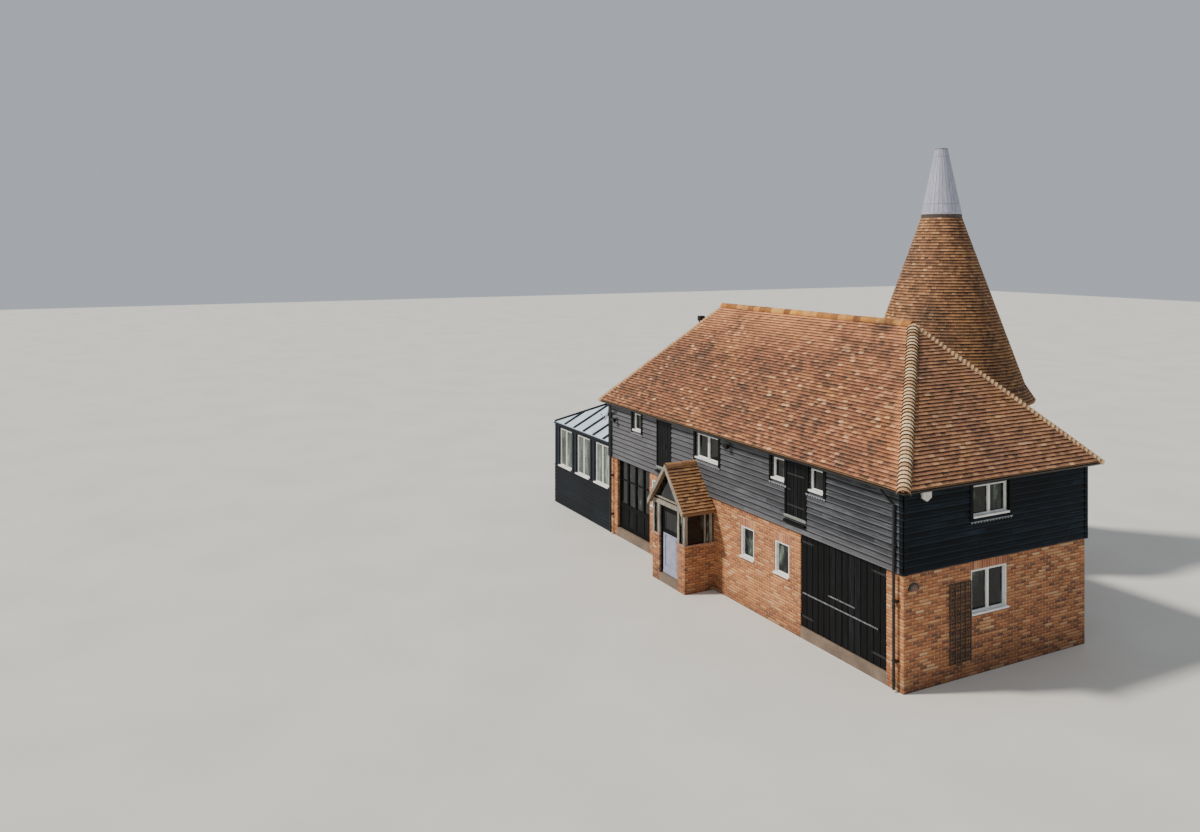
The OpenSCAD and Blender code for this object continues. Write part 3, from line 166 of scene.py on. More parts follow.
# Brickwork: soft orange-red stock bricks 215 by 65 mm, laid in lime mortar 10 mm wide.
# Hand-made bricks from a mixed firing differ one from the next, and the mortar is pale and a little sunk.
brick_long, course_high = 0.225, 0.075


def brick_material(name, laid_round):
    """Bricks over the straight walls, or round the kiln."""
    material, tree, shader, place = new_material(name, 0.88)
    xyz = add(tree, "SeparateXYZ", {0: place})
    if laid_round:
        x = add(tree, "Math", {"operation": "ADD", 0: xyz.outputs[0], 1: -kiln_x})
        y = add(tree, "Math", {"operation": "SUBTRACT", 0: xyz.outputs[1], 1: kiln_y})
        turn = add(tree, "Math", {"operation": "ARCTAN2", 0: y, 1: x})
        along = add(tree, "Math", {"operation": "MULTIPLY", 0: turn, 1: kiln_r})
    else:
        # The walls run along X or along Y, so that the sum of the two counts along either
        along = add(tree, "Math", {"operation": "ADD", 0: xyz.outputs[0], 1: xyz.outputs[1]})
    wall = add(tree, "CombineXYZ", {0: along, 1: xyz.outputs[2]})
    bricks = add(tree, "TexBrick", {
        "offset": 0.5, "Scale": 1.0, "Brick Width": brick_long, "Row Height": course_high,
        "Mortar Size": 0.0062, "Mortar Smooth": 0.25, "Bias": 0.0, "Color1": "000000", "Color2": "FFFFFF",
        "Mortar": "909090", "Vector": wall})
    clay = add(tree, "ValToRGB", {"Fac": bricks.outputs["Color"], "stops": [
        (0.0, "7C4E39"), (0.16, "945C3C"), (0.36, "A96740"), (0.6, "BA7548"), (0.8, "C68654"), (0.93, "CE9868"),
        (1.0, "D6AC80")]})
    blotch = add(tree, "TexNoise", {"Scale": 0.9, "Detail": 5, "Roughness": 0.6, "Vector": place})
    patch = add(tree, "ValToRGB", {"stops": [(0.35, "8F8078"), (0.6, "FFFFFF")], "Fac": blotch})
    tinted = add(tree, "Mix", {"blend_type": "MULTIPLY", 0: 0.35, 6: clay, 7: patch})
    grit = add(tree, "TexNoise", {"Scale": 70, "Detail": 4, "Vector": place})
    gritty = add(tree, "Mix", {"blend_type": "SOFT_LIGHT", 0: 0.6, 6: tinted, 7: grit.outputs[1]})
    lime = add(tree, "ValToRGB", {"stops": [(0.3, "B09C7C"), (0.7, "DCCCAC")], "Fac": grit})
    laid = add(tree, "Mix", {0: bricks.outputs["Fac"], 6: gritty, 7: lime})
    # The front face is screened lighter and more orange than the other walls
    before = add(tree, "Math", {"operation": "ADD", 0: xyz.outputs[1], 1: 3.05})
    off_front = add(tree, "Math", {"operation": "ABSOLUTE", 0: before})
    front_warmed = washed(tree, laid, off_front, (0.04, 0.1, 0.4, 0.0), "94521C", "SCREEN")
    # Each course throws a thin painted shadow on the sunk joint below it, and painted shade darkens its lower arris
    courses = add(tree, "Math", {"operation": "DIVIDE", 0: xyz.outputs[2], 1: course_high})
    share = add(tree, "Math", {"operation": "FRACT", 0: courses})
    arris_shade = add(tree, "ValToRGB", {
        "stops": [(0.0, 0.8), (0.14, 0.75), (0.32, 0.0), (0.9, 0.0), (1.0, 0.5)], "Fac": share})
    joint_shadowed = add(tree, "Mix", {"blend_type": "MULTIPLY", 0: arris_shade, 6: front_warmed, 7: "744A38"})
    # Splashes darken the lowest courses
    damp = add(tree, "MapRange", {0: xyz.outputs[2], 1: 0.0, 2: 0.7, 3: 0.62, 4: 1.0})
    foot = add(tree, "Mix", {"blend_type": "MULTIPLY", 0: 1.0, 6: joint_shadowed, 7: damp})
    proud = add(tree, "Math", {"operation": "MULTIPLY_ADD", 0: bricks.outputs["Fac"], 1: -1.0, 2: 1.0})
    relief = add(tree, "Math", {"operation": "MULTIPLY_ADD", 0: grit, 1: 0.35, 2: proud})
    surface(shader, foot, relief, 0.004, 0.7)
    return material


def dress(material, *names):
    """Gives CAD nodes a finish."""
    for name in names:
        nodes[name].data.materials.clear()
        nodes[name].data.materials.append(material)


dress(brick_material("stock_brick_in_lime_mortar", False), "front_pier_left", "front_wall_left", "front_door_lintel",
      "front_wall_middle", "front_pier_right", "near_end_wall", "back_wall", "far_end_wall", "porch_walls")
dress(brick_material("stock_brick_laid_round", True), "roundel_wall_1", "roundel_wall_2", "roundel_wall_3",
      "roundel_wall_4")


def at(x, y, z, turn=0, axis="Z"):
    """A place, and a turn in degrees about an axis through it."""
    return Matrix.Translation((x, y, z)) @ Matrix.Rotation(math.radians(turn), 4, axis)


def make_piece(bm, name, material, body="building", place=at(0, 0, 0)):
    """Turns a drawing into a piece at its place, which rides on a body and takes its finish from a slot."""
    bmesh.ops.transform(bm, matrix=place, verts=bm.verts)
    piece = solid(bm, name, material)
    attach(piece, body)
    return piece


def placed(bm, bit, place=at(0, 0, 0)):
    """Moves a drawing to its place and adds it to a piece."""
    bmesh.ops.transform(bit, matrix=place, verts=bit.verts)
    scrap = bpy.data.meshes.new("scrap")
    bit.to_mesh(scrap)
    bit.free()
    bm.from_mesh(scrap)
    bpy.data.meshes.remove(scrap)


wall_foot, wall_head, board_gauge = 2.68, 4.5, 0.1517


# Weatherboards: feather-edged softwood boards nailed level to the studs, each lapping the one below by
# an inch, tarred black. Sun and rain have bleached the tar to a dull grey along the grain.
def tar_material(name, lap_shadow, dark, mid, pale, sheen, sheen_and_bleach=0.0, foot=wall_foot, gauge=board_gauge):
    """Tar over boards that start at a foot, from the colour of the painted shadow under each lap to that of its palest
    grain.
    """
    material, tree, shader, place = new_material(name, 0.62, also={"Specular IOR Level": sheen})
    stretch = add(tree, "Mapping", {"Scale": (1.6, 1.6, 55), "Vector": place})
    grain = add(tree, "TexNoise", {"Scale": 1.0, "Detail": 7, "Roughness": 0.7, "Vector": stretch})
    board = add(tree, "Attribute", {"attribute_name": "board"})
    mixed = add(tree, "Math", {"operation": "MULTIPLY_ADD", 0: board.outputs["Fac"], 1: 0.14, 2: grain})
    tone = add(tree, "ValToRGB", {"stops": [(0.4, dark), (0.56, mid), (0.74, pale)], "Fac": mixed})
    blotch = add(tree, "TexNoise", {"Scale": 0.8, "Detail": 4, "Vector": place})
    fade = add(tree, "ValToRGB", {"stops": [(0.35, "8C8C90"), (0.65, "FFFFFF")], "Fac": blotch})
    worn = add(tree, "Mix", {"blend_type": "MULTIPLY", 0: 0.7, 6: tone, 7: fade})
    # On the front copy the tar is painted paler towards the far end and along the foot of the wall, for the sheen of
    # the sun on it and for its bleaching
    xyz = add(tree, "SeparateXYZ", {0: place})
    along = add(tree, "MapRange", {0: xyz.outputs[0], 1: 5.0, 2: -7.0, 3: 0.0, 4: sheen_and_bleach})
    low = add(tree, "MapRange", {0: xyz.outputs[2], 1: wall_foot, 2: 3.2, 3: 0.75 * sheen_and_bleach, 4: 0.0})
    most = add(tree, "Math", {"operation": "MAXIMUM", 0: along, 1: low})
    pale_end = add(tree, "Mix", {0: most, 6: worn, 7: "8D8A8E"})
    # The exposed lower edge of each board is bleached and carries a painted highlight, and its top is painted with the
    # shadow under the next one's lap
    up = add(tree, "Math", {"operation": "SUBTRACT", 0: xyz.outputs[2], 1: foot})
    share = add(tree, "Math", {"operation": "DIVIDE", 0: up, 1: gauge})
    across = add(tree, "Math", {"operation": "FRACT", 0: share})
    lap = add(tree, "ValToRGB", {
        "stops": [(0.0, 0.0), (0.05, 0.12), (0.62, 0.0), (0.82, 0.8), (1.0, 1.0)], "Fac": across})
    shaded = add(tree, "Mix", {0: lap, 6: pale_end, 7: lap_shadow})
    edge = add(tree, "ValToRGB", {"stops": [(0.0, 0.6), (0.14, 0.3), (0.24, 0.0)], "Fac": across})
    surface(shader, add(tree, "Mix", {0: edge, 6: shaded, 7: pale}), grain, 0.003, 0.6)
    return material


# The front, in the sun, has a paler copy of the tar, painted for the sunlight and sheen on it as well as for its
# bleaching; the darker, bluer copy on the other walls carries painted shade
tarred_boards = tar_material("tarred_softwood_boards", "010203", "03070B", "0B161F", "243340", 0.15)
sunlit_bleached_boards = tar_material("sunlit_bleached_tarred_boards", "060708", "1A1D21", "373A3F", "707378", 0.28, 0.4)

# Turns what is drawn against Y = 0, with its outside towards -Y, onto a face of the boarded upper floor
on_front, on_near_end = at(0, -3.09, 0), at(6.99, 0, 0, 90)
on_back, on_far_end = at(0, 0, 0, 180) @ at(0, -3.09, 0), at(-6.99, 0, 0, -90)


def block(bm, x0, x1, y0, y1, z0, z1):
    """A box between two corners."""
    size = Matrix.Diagonal((x1 - x0, y1 - y0, z1 - z0, 1))
    middle = at((x0 + x1) / 2, (y0 + y1) / 2, (z0 + z1) / 2)
    return bmesh.ops.create_cube(bm, size=1, matrix=middle @ size)["verts"]


def sawn(bm, openings):
    """Boards are sawn off where each opening's lining stands, 30 mm outside it."""
    cutter = bmesh.new()
    for a, b, c, d in openings:
        block(cutter, a - 0.03, b + 0.03, -0.1, 0.1, c - 0.03, d + 0.03)
    cut_object, board_object = (bpy.data.objects.new(name, bpy.data.meshes.new(name)) for name in ("cut", "uncut"))
    for drawing, thing in ((cutter, cut_object), (bm, board_object)):
        drawing.to_mesh(thing.data)
        bpy.context.collection.objects.link(thing)
    saw = board_object.modifiers.new("saw", "BOOLEAN")
    saw.operation, saw.solver, saw.object = "DIFFERENCE", "EXACT", cut_object
    bm.clear()
    bm.from_mesh(board_object.evaluated_get(bpy.context.evaluated_depsgraph_get()).to_mesh())
    for thing in (cut_object, board_object):
        bpy.data.objects.remove(thing)


def weatherboards(name, place, x0, x1, seed, tar, openings=(), foot=wall_foot, head=wall_head, gauge=board_gauge,
                  thick=0.026):
    """Boards from x0 to x1, cut round openings given as left, right, foot and head."""
    rng = random.Random(seed)
    bm = bmesh.new()
    tone = bm.faces.layers.float.new("board")
    rows = round((head - foot) / gauge)
    step = (head - foot) / rows
    for row in range(rows):
        z = foot + row * step
        x = x0 - rng.uniform(0.3, 2.5)
        while x < x1:
            run = rng.uniform(3.2, 4.9)
            a, b = max(x, x0), min(x + run - 0.003, x1)
            if b - a > 0.05:
                jut = rng.uniform(-0.0015, 0.0015)
                verts = block(bm, a, b, -thick - jut, 0.004, z - 0.004 + rng.uniform(-0.001, 0.001),
                              z + step - 0.0055)
                tops = [v for v in verts if v.co.z > z + step / 2 and v.co.y < 0]
                bmesh.ops.translate(bm, verts=tops, vec=(0, thick - 0.004, 0))
                shade = rng.random()
                for f in {f for v in verts for f in v.link_faces}:
                    f[tone] = shade
            x += run
    if openings:
        sawn(bm, openings)
    make_piece(bm, name, tar, place=place)


weatherboards("front_weatherboards", on_front, -6.99, 6.99, 1, sunlit_bleached_boards, [
    (-5.265, -4.715, 3.84, 4.44), (-3.635, -2.895, 2.99, 4.44), (-1.445, -0.245, 3.67, 4.44),
    (2.245, 2.795, 3.84, 4.44), (2.87, 3.61, 3.05, 4.44), (3.765, 4.315, 3.84, 4.44)])
for name, place, x0, x1, seed, opening in (
        ("near_end_weatherboards", on_near_end, -3.09, 3.09, 2, (-0.945, 0.255, 3.67, 4.44)),
        ("back_weatherboards_left", on_back, -6.99, -2.36, 3, (-5.2, -4.0, 3.67, 4.44)),
        ("back_weatherboards_right", on_back, 2.55, 6.99, 4, (4.0, 5.2, 3.67, 4.44)),
        ("far_end_weatherboards", on_far_end, -3.09, 3.09, 5, (-2.175, -1.625, 3.84, 4.44))):
    weatherboards(name, place, x0, x1, seed, tarred_boards, [opening])
dress(sunlit_bleached_boards, "upper_front_wall")
dress(tarred_boards, "upper_near_end_wall", "upper_back_wall", "upper_far_end_wall")

# Corner boards close the ends of the weatherboards. They are sawn softwood, nailed upright to the corner posts
# and tarred with the rest.
bm = bmesh.new()
for place, half in ((on_front, 6.99), (on_near_end, 3.09), (on_back, 6.99), (on_far_end, 3.09)):
    bit = bmesh.new()
    for x0, x1 in ((-half, 0.11 - half), (half - 0.11, half)):
        block(bit, x0, x1, -0.032, 0, 2.66, wall_head)
    placed(bm, bit, place)
bmesh.ops.bevel(bm, geom=bm.edges, offset=0.004, affect="EDGES", segments=1, profile=0.5, material=-1)
make_piece(bm, "corner_boards", tarred_boards)


# Peg tiles: hand-made clay tiles 165 by 265 mm and half an inch thick, hung in courses 100 mm apart
# on battens. No two are the same colour or lie quite flat, and lichen and moss grow on the old ones.
def tile_material(name, stops, moss, lichen, bloom=0.0, shade_and_damp=0.0, pale_tail_share=0.45):
    """Clay from its darkest tiles to its palest, with the shares of what grows and weathers on it and of painted shade
    and highlight.
    """
    material, tree, shader, place = new_material(name, 0.9)
    xyz = add(tree, "SeparateXYZ", {0: place})
    tile = add(tree, "Attribute", {"attribute_name": "tile"}).outputs["Fac"]
    drift = add(tree, "TexNoise", {"Scale": 0.55, "Detail": 4, "Roughness": 0.55, "Vector": place})
    shift = add(tree, "Math", {"operation": "MULTIPLY_ADD", 0: drift, 1: 0.3, 2: -0.15})
    pick = add(tree, "Math", {"operation": "ADD", 0: tile, 1: shift})
    clay = add(tree, "ValToRGB", {"stops": stops, "Fac": pick})
    grit = add(tree, "TexNoise", {"Scale": 38, "Detail": 5, "Roughness": 0.7, "Vector": place})
    gritty = add(tree, "Mix", {"blend_type": "SOFT_LIGHT", 0: 0.8, 6: clay, 7: grit})
    # Whole areas lean to red, to smoked purple or to ochre, after the kiln loads that the tiles came from
    load = add(tree, "TexNoise", {"noise_dimensions": "4D", "Scale": 0.75, "Detail": 5, "Roughness": 0.6, "W": 5,
                                  "Vector": place})
    cast = add(tree, "ValToRGB", {
        "stops": [(0.34, "94847C"), (0.46, "F0CDB2"), (0.55, "FFE4BC"), (0.66, "FFDA94")], "Fac": load})
    fired = add(tree, "Mix", {"blend_type": "MULTIPLY", 0: 0.85, 6: gritty, 7: cast})
    # The side away from the sun is painted darker and more olive, as painted shade with damp lichen on it
    worn = washed(tree, fired, xyz.outputs[0], (0.3, 2.0, 0.0, shade_and_damp), "A8A070", "MULTIPLY")
    # Moss keeps to broad damp patches, and lichen makes spots a hand across
    damp = add(tree, "TexNoise", {"Scale": 0.9, "Detail": 7, "Roughness": 0.68, "Vector": place})
    mossy = washed(tree, worn, damp, (0.56, 0.75, 0.0, moss), "4C4634")
    spots = add(tree, "TexNoise", {"Scale": 6.5, "Detail": 6, "Roughness": 0.75, "Vector": place})
    spotted = washed(tree, mossy, spots, (0.62, 0.72, 0.0, lichen), "B9A66E")
    flecks = add(tree, "TexNoise", {"noise_dimensions": "4D", "Scale": 24, "Detail": 5, "Roughness": 0.7, "W": 2,
                                    "Vector": place})
    flecked = washed(tree, spotted, flecks, (0.58, 0.66, 0.0, 0.65), "DDBE96")
    # Orange lichen blooms near the ridge and beside the near hip, where rain runs off the limy mortar
    high = add(tree, "MapRange", {0: xyz.outputs[2], 1: 6.6, 2: 7.95, 3: 0.0, 4: 0.8})
    off_hip = add(tree, "VectorMath", {"operation": "DOT_PRODUCT", 0: place, 1: (0.74, 0.673, 0)})
    near = add(tree, "MapRange", {0: off_hip.outputs["Value"], 1: 2.72, 2: 3.04, 3: 0.0, 4: 0.9})
    before = add(tree, "Math", {"operation": "LESS_THAN", 0: off_hip.outputs["Value"], 1: 3.12})
    hip_run = add(tree, "Math", {"operation": "MULTIPLY", 0: near, 1: before})
    front = add(tree, "Math", {"operation": "LESS_THAN", 0: xyz.outputs[1], 1: 0.0})
    front_run = add(tree, "Math", {"operation": "MULTIPLY", 0: hip_run, 1: front})
    most = add(tree, "Math", {"operation": "MAXIMUM", 0: high, 1: front_run})
    patchy = add(tree, "MapRange", {0: load, 1: 0.38, 2: 0.56, 3: 0.0, 4: bloom})
    blown = add(tree, "Math", {"operation": "MULTIPLY", 0: most, 1: patchy})
    bloomed = add(tree, "Mix", {0: blown, 6: flecked, 7: "F09E68"})
    # Tails weather pale and carry a painted highlight, and dirt and painted shade gather above them under the next
    # lap.
    # A tile's lap is 0 at its tail and 1 at its head.
    lap = add(tree, "Attribute", {"attribute_name": "lap"}).outputs["Fac"]
    pale_tails = washed(tree, bloomed, lap, (0.02, 0.38, pale_tail_share, 0.0), "B0845A", "SCREEN")
    dirt_and_shade = washed(tree, pale_tails, lap, (0.3, 0.66, 0.0, 0.85), "5A402E", "MULTIPLY")
    # The lower edges, which are marked with a tile value under zero, are painted dark with the shade under each course
    under = add(tree, "Math", {"operation": "LESS_THAN", 0: tile, 1: -0.5})
    surface(shader, add(tree, "Mix", {0: under, 6: dirt_and_shade, 7: "1D1410"}), grit, 0.004, 0.7)
    return material


main_tiles = tile_material("clay_peg_tiles", [
    (0.0, "3A2822"), (0.2, "5E3E31"), (0.4, "80523F"), (0.58, "99664C"), (0.72, "AE7D60"), (0.84, "C69E80"),
    (1.0, "E0C2A4")], 0.4, 0.3, bloom=0.85)
# The hip slopes have a copy with greyer, flatter clay, painted for the shade on them and for lichen
shaded_tiles = tile_material("shaded_and_lichened_clay_peg_tiles", [
    (0.0, "4A3730"), (0.2, "684C3F"), (0.4, "866150"), (0.58, "9C745D"), (0.72, "AE8871"), (0.84, "C2A088"),
    (1.0, "D4B9A0")], 0.45, 0.3)
tile_w, tile_t, tile_gauge = 0.165, 0.017, 0.1


def row_of_tiles():
    """An empty drawing for a course, with a value for each tile's face and for how far up it a corner is."""
    bm = bmesh.new()
    bm.faces.layers.float.new("tile")
    bm.verts.layers.float.new("lap")
    return bm


def hang_tile(bm, place, size, shade, up):
    """One tile, whose tail is at the low end of an axis: 1 is Y and 2 is Z."""
    tone, lap = bm.faces.layers.float["tile"], bm.verts.layers.float["lap"]
    verts = bmesh.ops.create_cube(bm, size=1, matrix=place @ Matrix.Diagonal((*size, 1)))["verts"]
    faces = {f for v in verts for f in v.link_faces}
    for f in faces:
        f[tone] = min(1, max(0, shade))
    # The butt, the tile's lowest face, is marked under zero for its painted shade
    min(faces, key=lambda f: f.calc_center_median()[up])[tone] = -1.0
    for v in sorted(verts, key=lambda v: v.co[up])[4:]:
        v[lap] = 1.0


def course(rng, length, y, odd, spread):
    """One course of tiles along X from 0, its lower edge at Y = y up a slope whose outside is +Z."""
    bm = row_of_tiles()
    x = -tile_w * (0.5 if odd else 0.0)
    while x < length:
        a, b = x + 0.001, x + tile_w - 0.001
        lift = tile_t * 1.6 + rng.uniform(-0.002, 0.003)
        tilt = Matrix.Rotation(math.atan2(tile_t, tile_gauge) + rng.uniform(-0.02, 0.02), 4, "X")
        turn = Matrix.Rotation(rng.uniform(-0.012, 0.012), 4, "Z")
        roll = Matrix.Rotation(rng.uniform(-0.025, 0.025), 4, "Y")
        where = at((a + b) / 2, y + rng.uniform(-0.004, 0.004), lift)
        hang_tile(bm, where @ turn @ roll @ tilt.inverted() @ at(0, 0.075, 0), (b - a, 0.15, tile_t),
                  rng.gauss(0.46, spread), 1)
        x += tile_w
    return bm


def trim(bm, point, outward):
    """Cuts away what lies past a plane and closes the cut."""
    cut = bmesh.ops.bisect_plane(bm, geom=bm.verts[:] + bm.edges[:] + bm.faces[:], dist=1e-5,
                                 plane_co=point, plane_no=outward, clear_outer=True)["geom_cut"]
    bmesh.ops.edgeloop_fill(bm, edges=[e for e in cut if isinstance(e, bmesh.types.BMEdge)])


def tiled_slope(bm, rng, foot_a, foot_b, rise, run, cuts, keep=None, start=-0.008, spread=0.21):
    """Tiles from the eave foot_a to foot_b up a slope that rises over a level run, cut off at planes."""
    foot_a, foot_b = Vector(foot_a), Vector(foot_b)
    along = (foot_b - foot_a).normalized()
    inward = Vector((0, 0, 1)).cross(along)
    up = (inward * run + Vector((0, 0, rise))).normalized()
    slope = Matrix((along, up, along.cross(up))).transposed().to_4x4()
    slope.translation = foot_a
    for row in range(int(math.hypot(rise, run) / tile_gauge) + 1):
        bit = course(rng, (foot_b - foot_a).length, start + row * tile_gauge, row % 2, spread)
        bmesh.ops.transform(bit, matrix=slope, verts=bit.verts)
        for point, outward in cuts:
            if any((v.co - point).dot(outward) > 0 for v in bit.verts):
                trim(bit, point, outward)
        if keep:
            lost = [v for v in bit.verts if not keep(v.co)]
            doomed = {f for v in lost for f in v.link_faces}
            doomed |= {f for g in doomed for v in g.verts for f in v.link_faces}
            bmesh.ops.delete(bit, geom=list({v for f in doomed for v in f.verts}), context="VERTS")
        placed(bm, bit)


# The main roof: hipped at both ends, on an eave line 0.28 m out from the bricks. Its tiles hang on battens
# over the rafters, and they stop short of the kiln, which stands up through the back slope.
eave_x, eave_y, eave_z, ridge_z = 7.23, 3.33, 4.625, 7.945
ridge_near, ridge_far = 4.2, -4.5
rise = ridge_z - eave_z


def outside_kiln(p):
    """Whether a point lies outside the kiln's wall, or its cone at that height."""
    if p.z < 5.08:
        radius = kiln_r
    elif p.z < 5.56:
        radius = 2.80 - (p.z - 5.08) / 0.48 * 0.3
    else:
        radius = 2.5 - (p.z - 5.56) / 5.32 * 1.875
    return math.hypot(p.x - kiln_x, p.y - kiln_y) > radius - 0.12


def hip_plane(foot_x, foot_y, head_x):
    """The upright plane through a hip, facing its end of the house."""
    foot = Vector((foot_x, foot_y, 0))
    line = Vector((head_x, 0, 0)) - foot
    normal = Vector((line.y, -line.x, 0)).normalized()
    return foot, normal if normal.x * foot_x > 0 else -normal


rng = random.Random(11)
near_front, near_back = hip_plane(eave_x, -eave_y, ridge_near), hip_plane(eave_x, eave_y, ridge_near)
far_front, far_back = hip_plane(-eave_x, -eave_y, ridge_far), hip_plane(-eave_x, eave_y, ridge_far)
eave_near_front, eave_near_back = (eave_x, -eave_y, eave_z), (eave_x, eave_y, eave_z)
eave_far_front, eave_far_back = (-eave_x, -eave_y, eave_z), (-eave_x, eave_y, eave_z)
bm = bmesh.new()
tiled_slope(bm, rng, eave_far_front, eave_near_front, rise, eave_y,
            [near_front, far_front, (Vector((0, 0, 0)), Vector((0, 1, 0)))])
make_piece(bm, "front_slope_tiles", main_tiles)
bm = bmesh.new()
tiled_slope(bm, rng, eave_near_back, eave_far_back, rise, eave_y,
            [near_back, far_back, (Vector((0, 0, 0)), Vector((0, -1, 0)))], keep=outside_kiln)
make_piece(bm, "back_slope_tiles", main_tiles)
bm = bmesh.new()
tiled_slope(bm, rng, eave_near_front, eave_near_back, rise, eave_x - ridge_near,
            [(p, -n) for p, n in (near_front, near_back)], spread=0.17)
tiled_slope(bm, rng, eave_far_back, eave_far_front, rise, eave_x + ridge_far,
            [(p, -n) for p, n in (far_front, far_back)])
make_piece(bm, "hip_slope_tiles", shaded_tiles)
dress(main_tiles, "main_roof", "porch_roof")

# Bonnet tiles close the hips, one to each course, like a stack of half cones. They are pale clay bedded in
# mortar, with grey and orange lichen on them.
pale_clay, tree, shader, place = new_material("pale_clay_bonnet_tiles", 0.9)
tile = add(tree, "Attribute", {"attribute_name": "tile"}).outputs["Fac"]
clay = add(tree, "ValToRGB", {"stops": [(0.0, "B8906A"), (0.35, "D2AC80"), (0.65, "E4C69C"), (1.0, "F2DDBA")],
                              "Fac": tile})
spots = add(tree, "TexNoise", {"Scale": 9, "Detail": 7, "Roughness": 0.75, "Vector": place})
grey = washed(tree, clay, spots, (0.55, 0.68, 0.0, 0.75), "A9A595")
far_spots = add(tree, "TexNoise", {"noise_dimensions": "4D", "Scale": 5, "Detail": 6, "Roughness": 0.7, "W": 3,
                                   "Vector": place})
orange = washed(tree, grey, far_spots, (0.6, 0.7, 0.0, 0.8), "B8803A")
# Faces marked under zero, which point down, are dark with mortar and painted shade
under = add(tree, "Math", {"operation": "LESS_THAN", 0: tile, 1: -0.5})
surface(shader, add(tree, "Mix", {0: under, 6: orange, 7: "4E3D2C"}), spots, 0.005, 0.7)


def half_tube(bm, rng, a, b, r_a, r_b, thick, cut=-0.25, tones=(0, 1)):
    """A half-round tile laid from a to b, open below, with its two radii."""
    line = b - a
    side = line.cross(Vector((0, 0, 1))).normalized()
    over = side.cross(line).normalized()
    bit = bmesh.new()
    tone = bit.faces.layers.float.new("tile")
    bmesh.ops.create_cone(bit, cap_ends=False, segments=14, radius1=r_a, radius2=r_b, depth=line.length)
    bmesh.ops.bisect_plane(bit, geom=bit.verts[:] + bit.edges[:] + bit.faces[:], dist=1e-5,
                           plane_co=(0, r_a * cut, 0), plane_no=(0, -1, 0), clear_outer=True)
    bmesh.ops.solidify(bit, geom=bit.faces[:], thickness=thick)
    bmesh.ops.recalc_face_normals(bit, faces=bit.faces)
    turn = Matrix((side, over, line.normalized())).transposed().to_4x4()
    turn.translation = (a + b) / 2
    wobble = Matrix.Rotation(rng.uniform(-0.035, 0.035), 4, "X") @ Matrix.Rotation(rng.uniform(-0.06, 0.06), 4, "Z")
    shade = rng.uniform(*tones)
    for f in bit.faces:
        # The lip that faces down the slope is dark with damp mortar and painted shade
        f[tone] = -1.0 if f.normal.z < -0.7 else shade
    placed(bm, bit, turn @ wobble)


bm = bmesh.new()
bonnets_to_a_hip = 47
for foot, head_x in ((eave_near_front, ridge_near), (eave_near_back, ridge_near), (eave_far_front, ridge_far),
                     (eave_far_back, ridge_far)):
    low, high = Vector((foot[0], foot[1], eave_z + 0.01)), Vector((head_x, 0, ridge_z + 0.01))
    step = (high - low) / bonnets_to_a_hip
    for i in range(bonnets_to_a_hip):
        # Each tile's head lies low under the next one's lip, and the limy near hip has the widest tiles
        a = low + step * i - Vector((0, 0, 0.115)) + step * 0.06
        b = a + step * 1.55 - Vector((0, 0, 0.03))
        if foot == eave_near_front:
            half_tube(bm, rng, a, b, 0.17, 0.132, 0.018, cut=0.1)
        elif outside_kiln(a):
            half_tube(bm, rng, a, b, 0.14, 0.11, 0.018, cut=0.1, tones=(0, 0.3))
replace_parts(make_piece(bm, "bonnet_tiles", pale_clay), "ridge_and_hip_tiles")

# Half-round ridge tiles of red clay, 300 mm long, butted and pointed with mortar. Orange lichen loves them.
ridge_clay = tile_material("red_clay_ridge_tiles", [
    (0.0, "805A34"), (0.4, "A87A40"), (0.7, "C29248"), (1.0, "D2AC68")], 0.3, 0.9, pale_tail_share=0.0)
bm = bmesh.new()
for i in range(28):
    x = ridge_far + (ridge_near - ridge_far) / 28 * i
    lift = rng.uniform(-0.004, 0.004)
    a, b = (Vector((end, 0, ridge_z - 0.035 + lift)) for end in (x - 0.012, x + 0.306))
    half_tube(bm, rng, a, b, 0.118, 0.118, 0.014)
make_piece(bm, "ridge_tiles", ridge_clay)

# The kiln's cone: sixty-odd courses of narrow peg tiles, rounding a bell-cast kick at the foot and rising to
# the curb. The smoke of the drying fires has browned them, and lichen yellows the damp side, which is also painted
# darker as shade.
cone_tiles = tile_material("smoked_clay_peg_tiles", [
    (0.0, "503F36"), (0.2, "6C5243"), (0.42, "8E6B52"), (0.62, "A78062"), (0.82, "BC9976"), (1.0, "D5BE9A")],
    0.45, 0.4, shade_and_damp=0.6)
bm = bmesh.new()
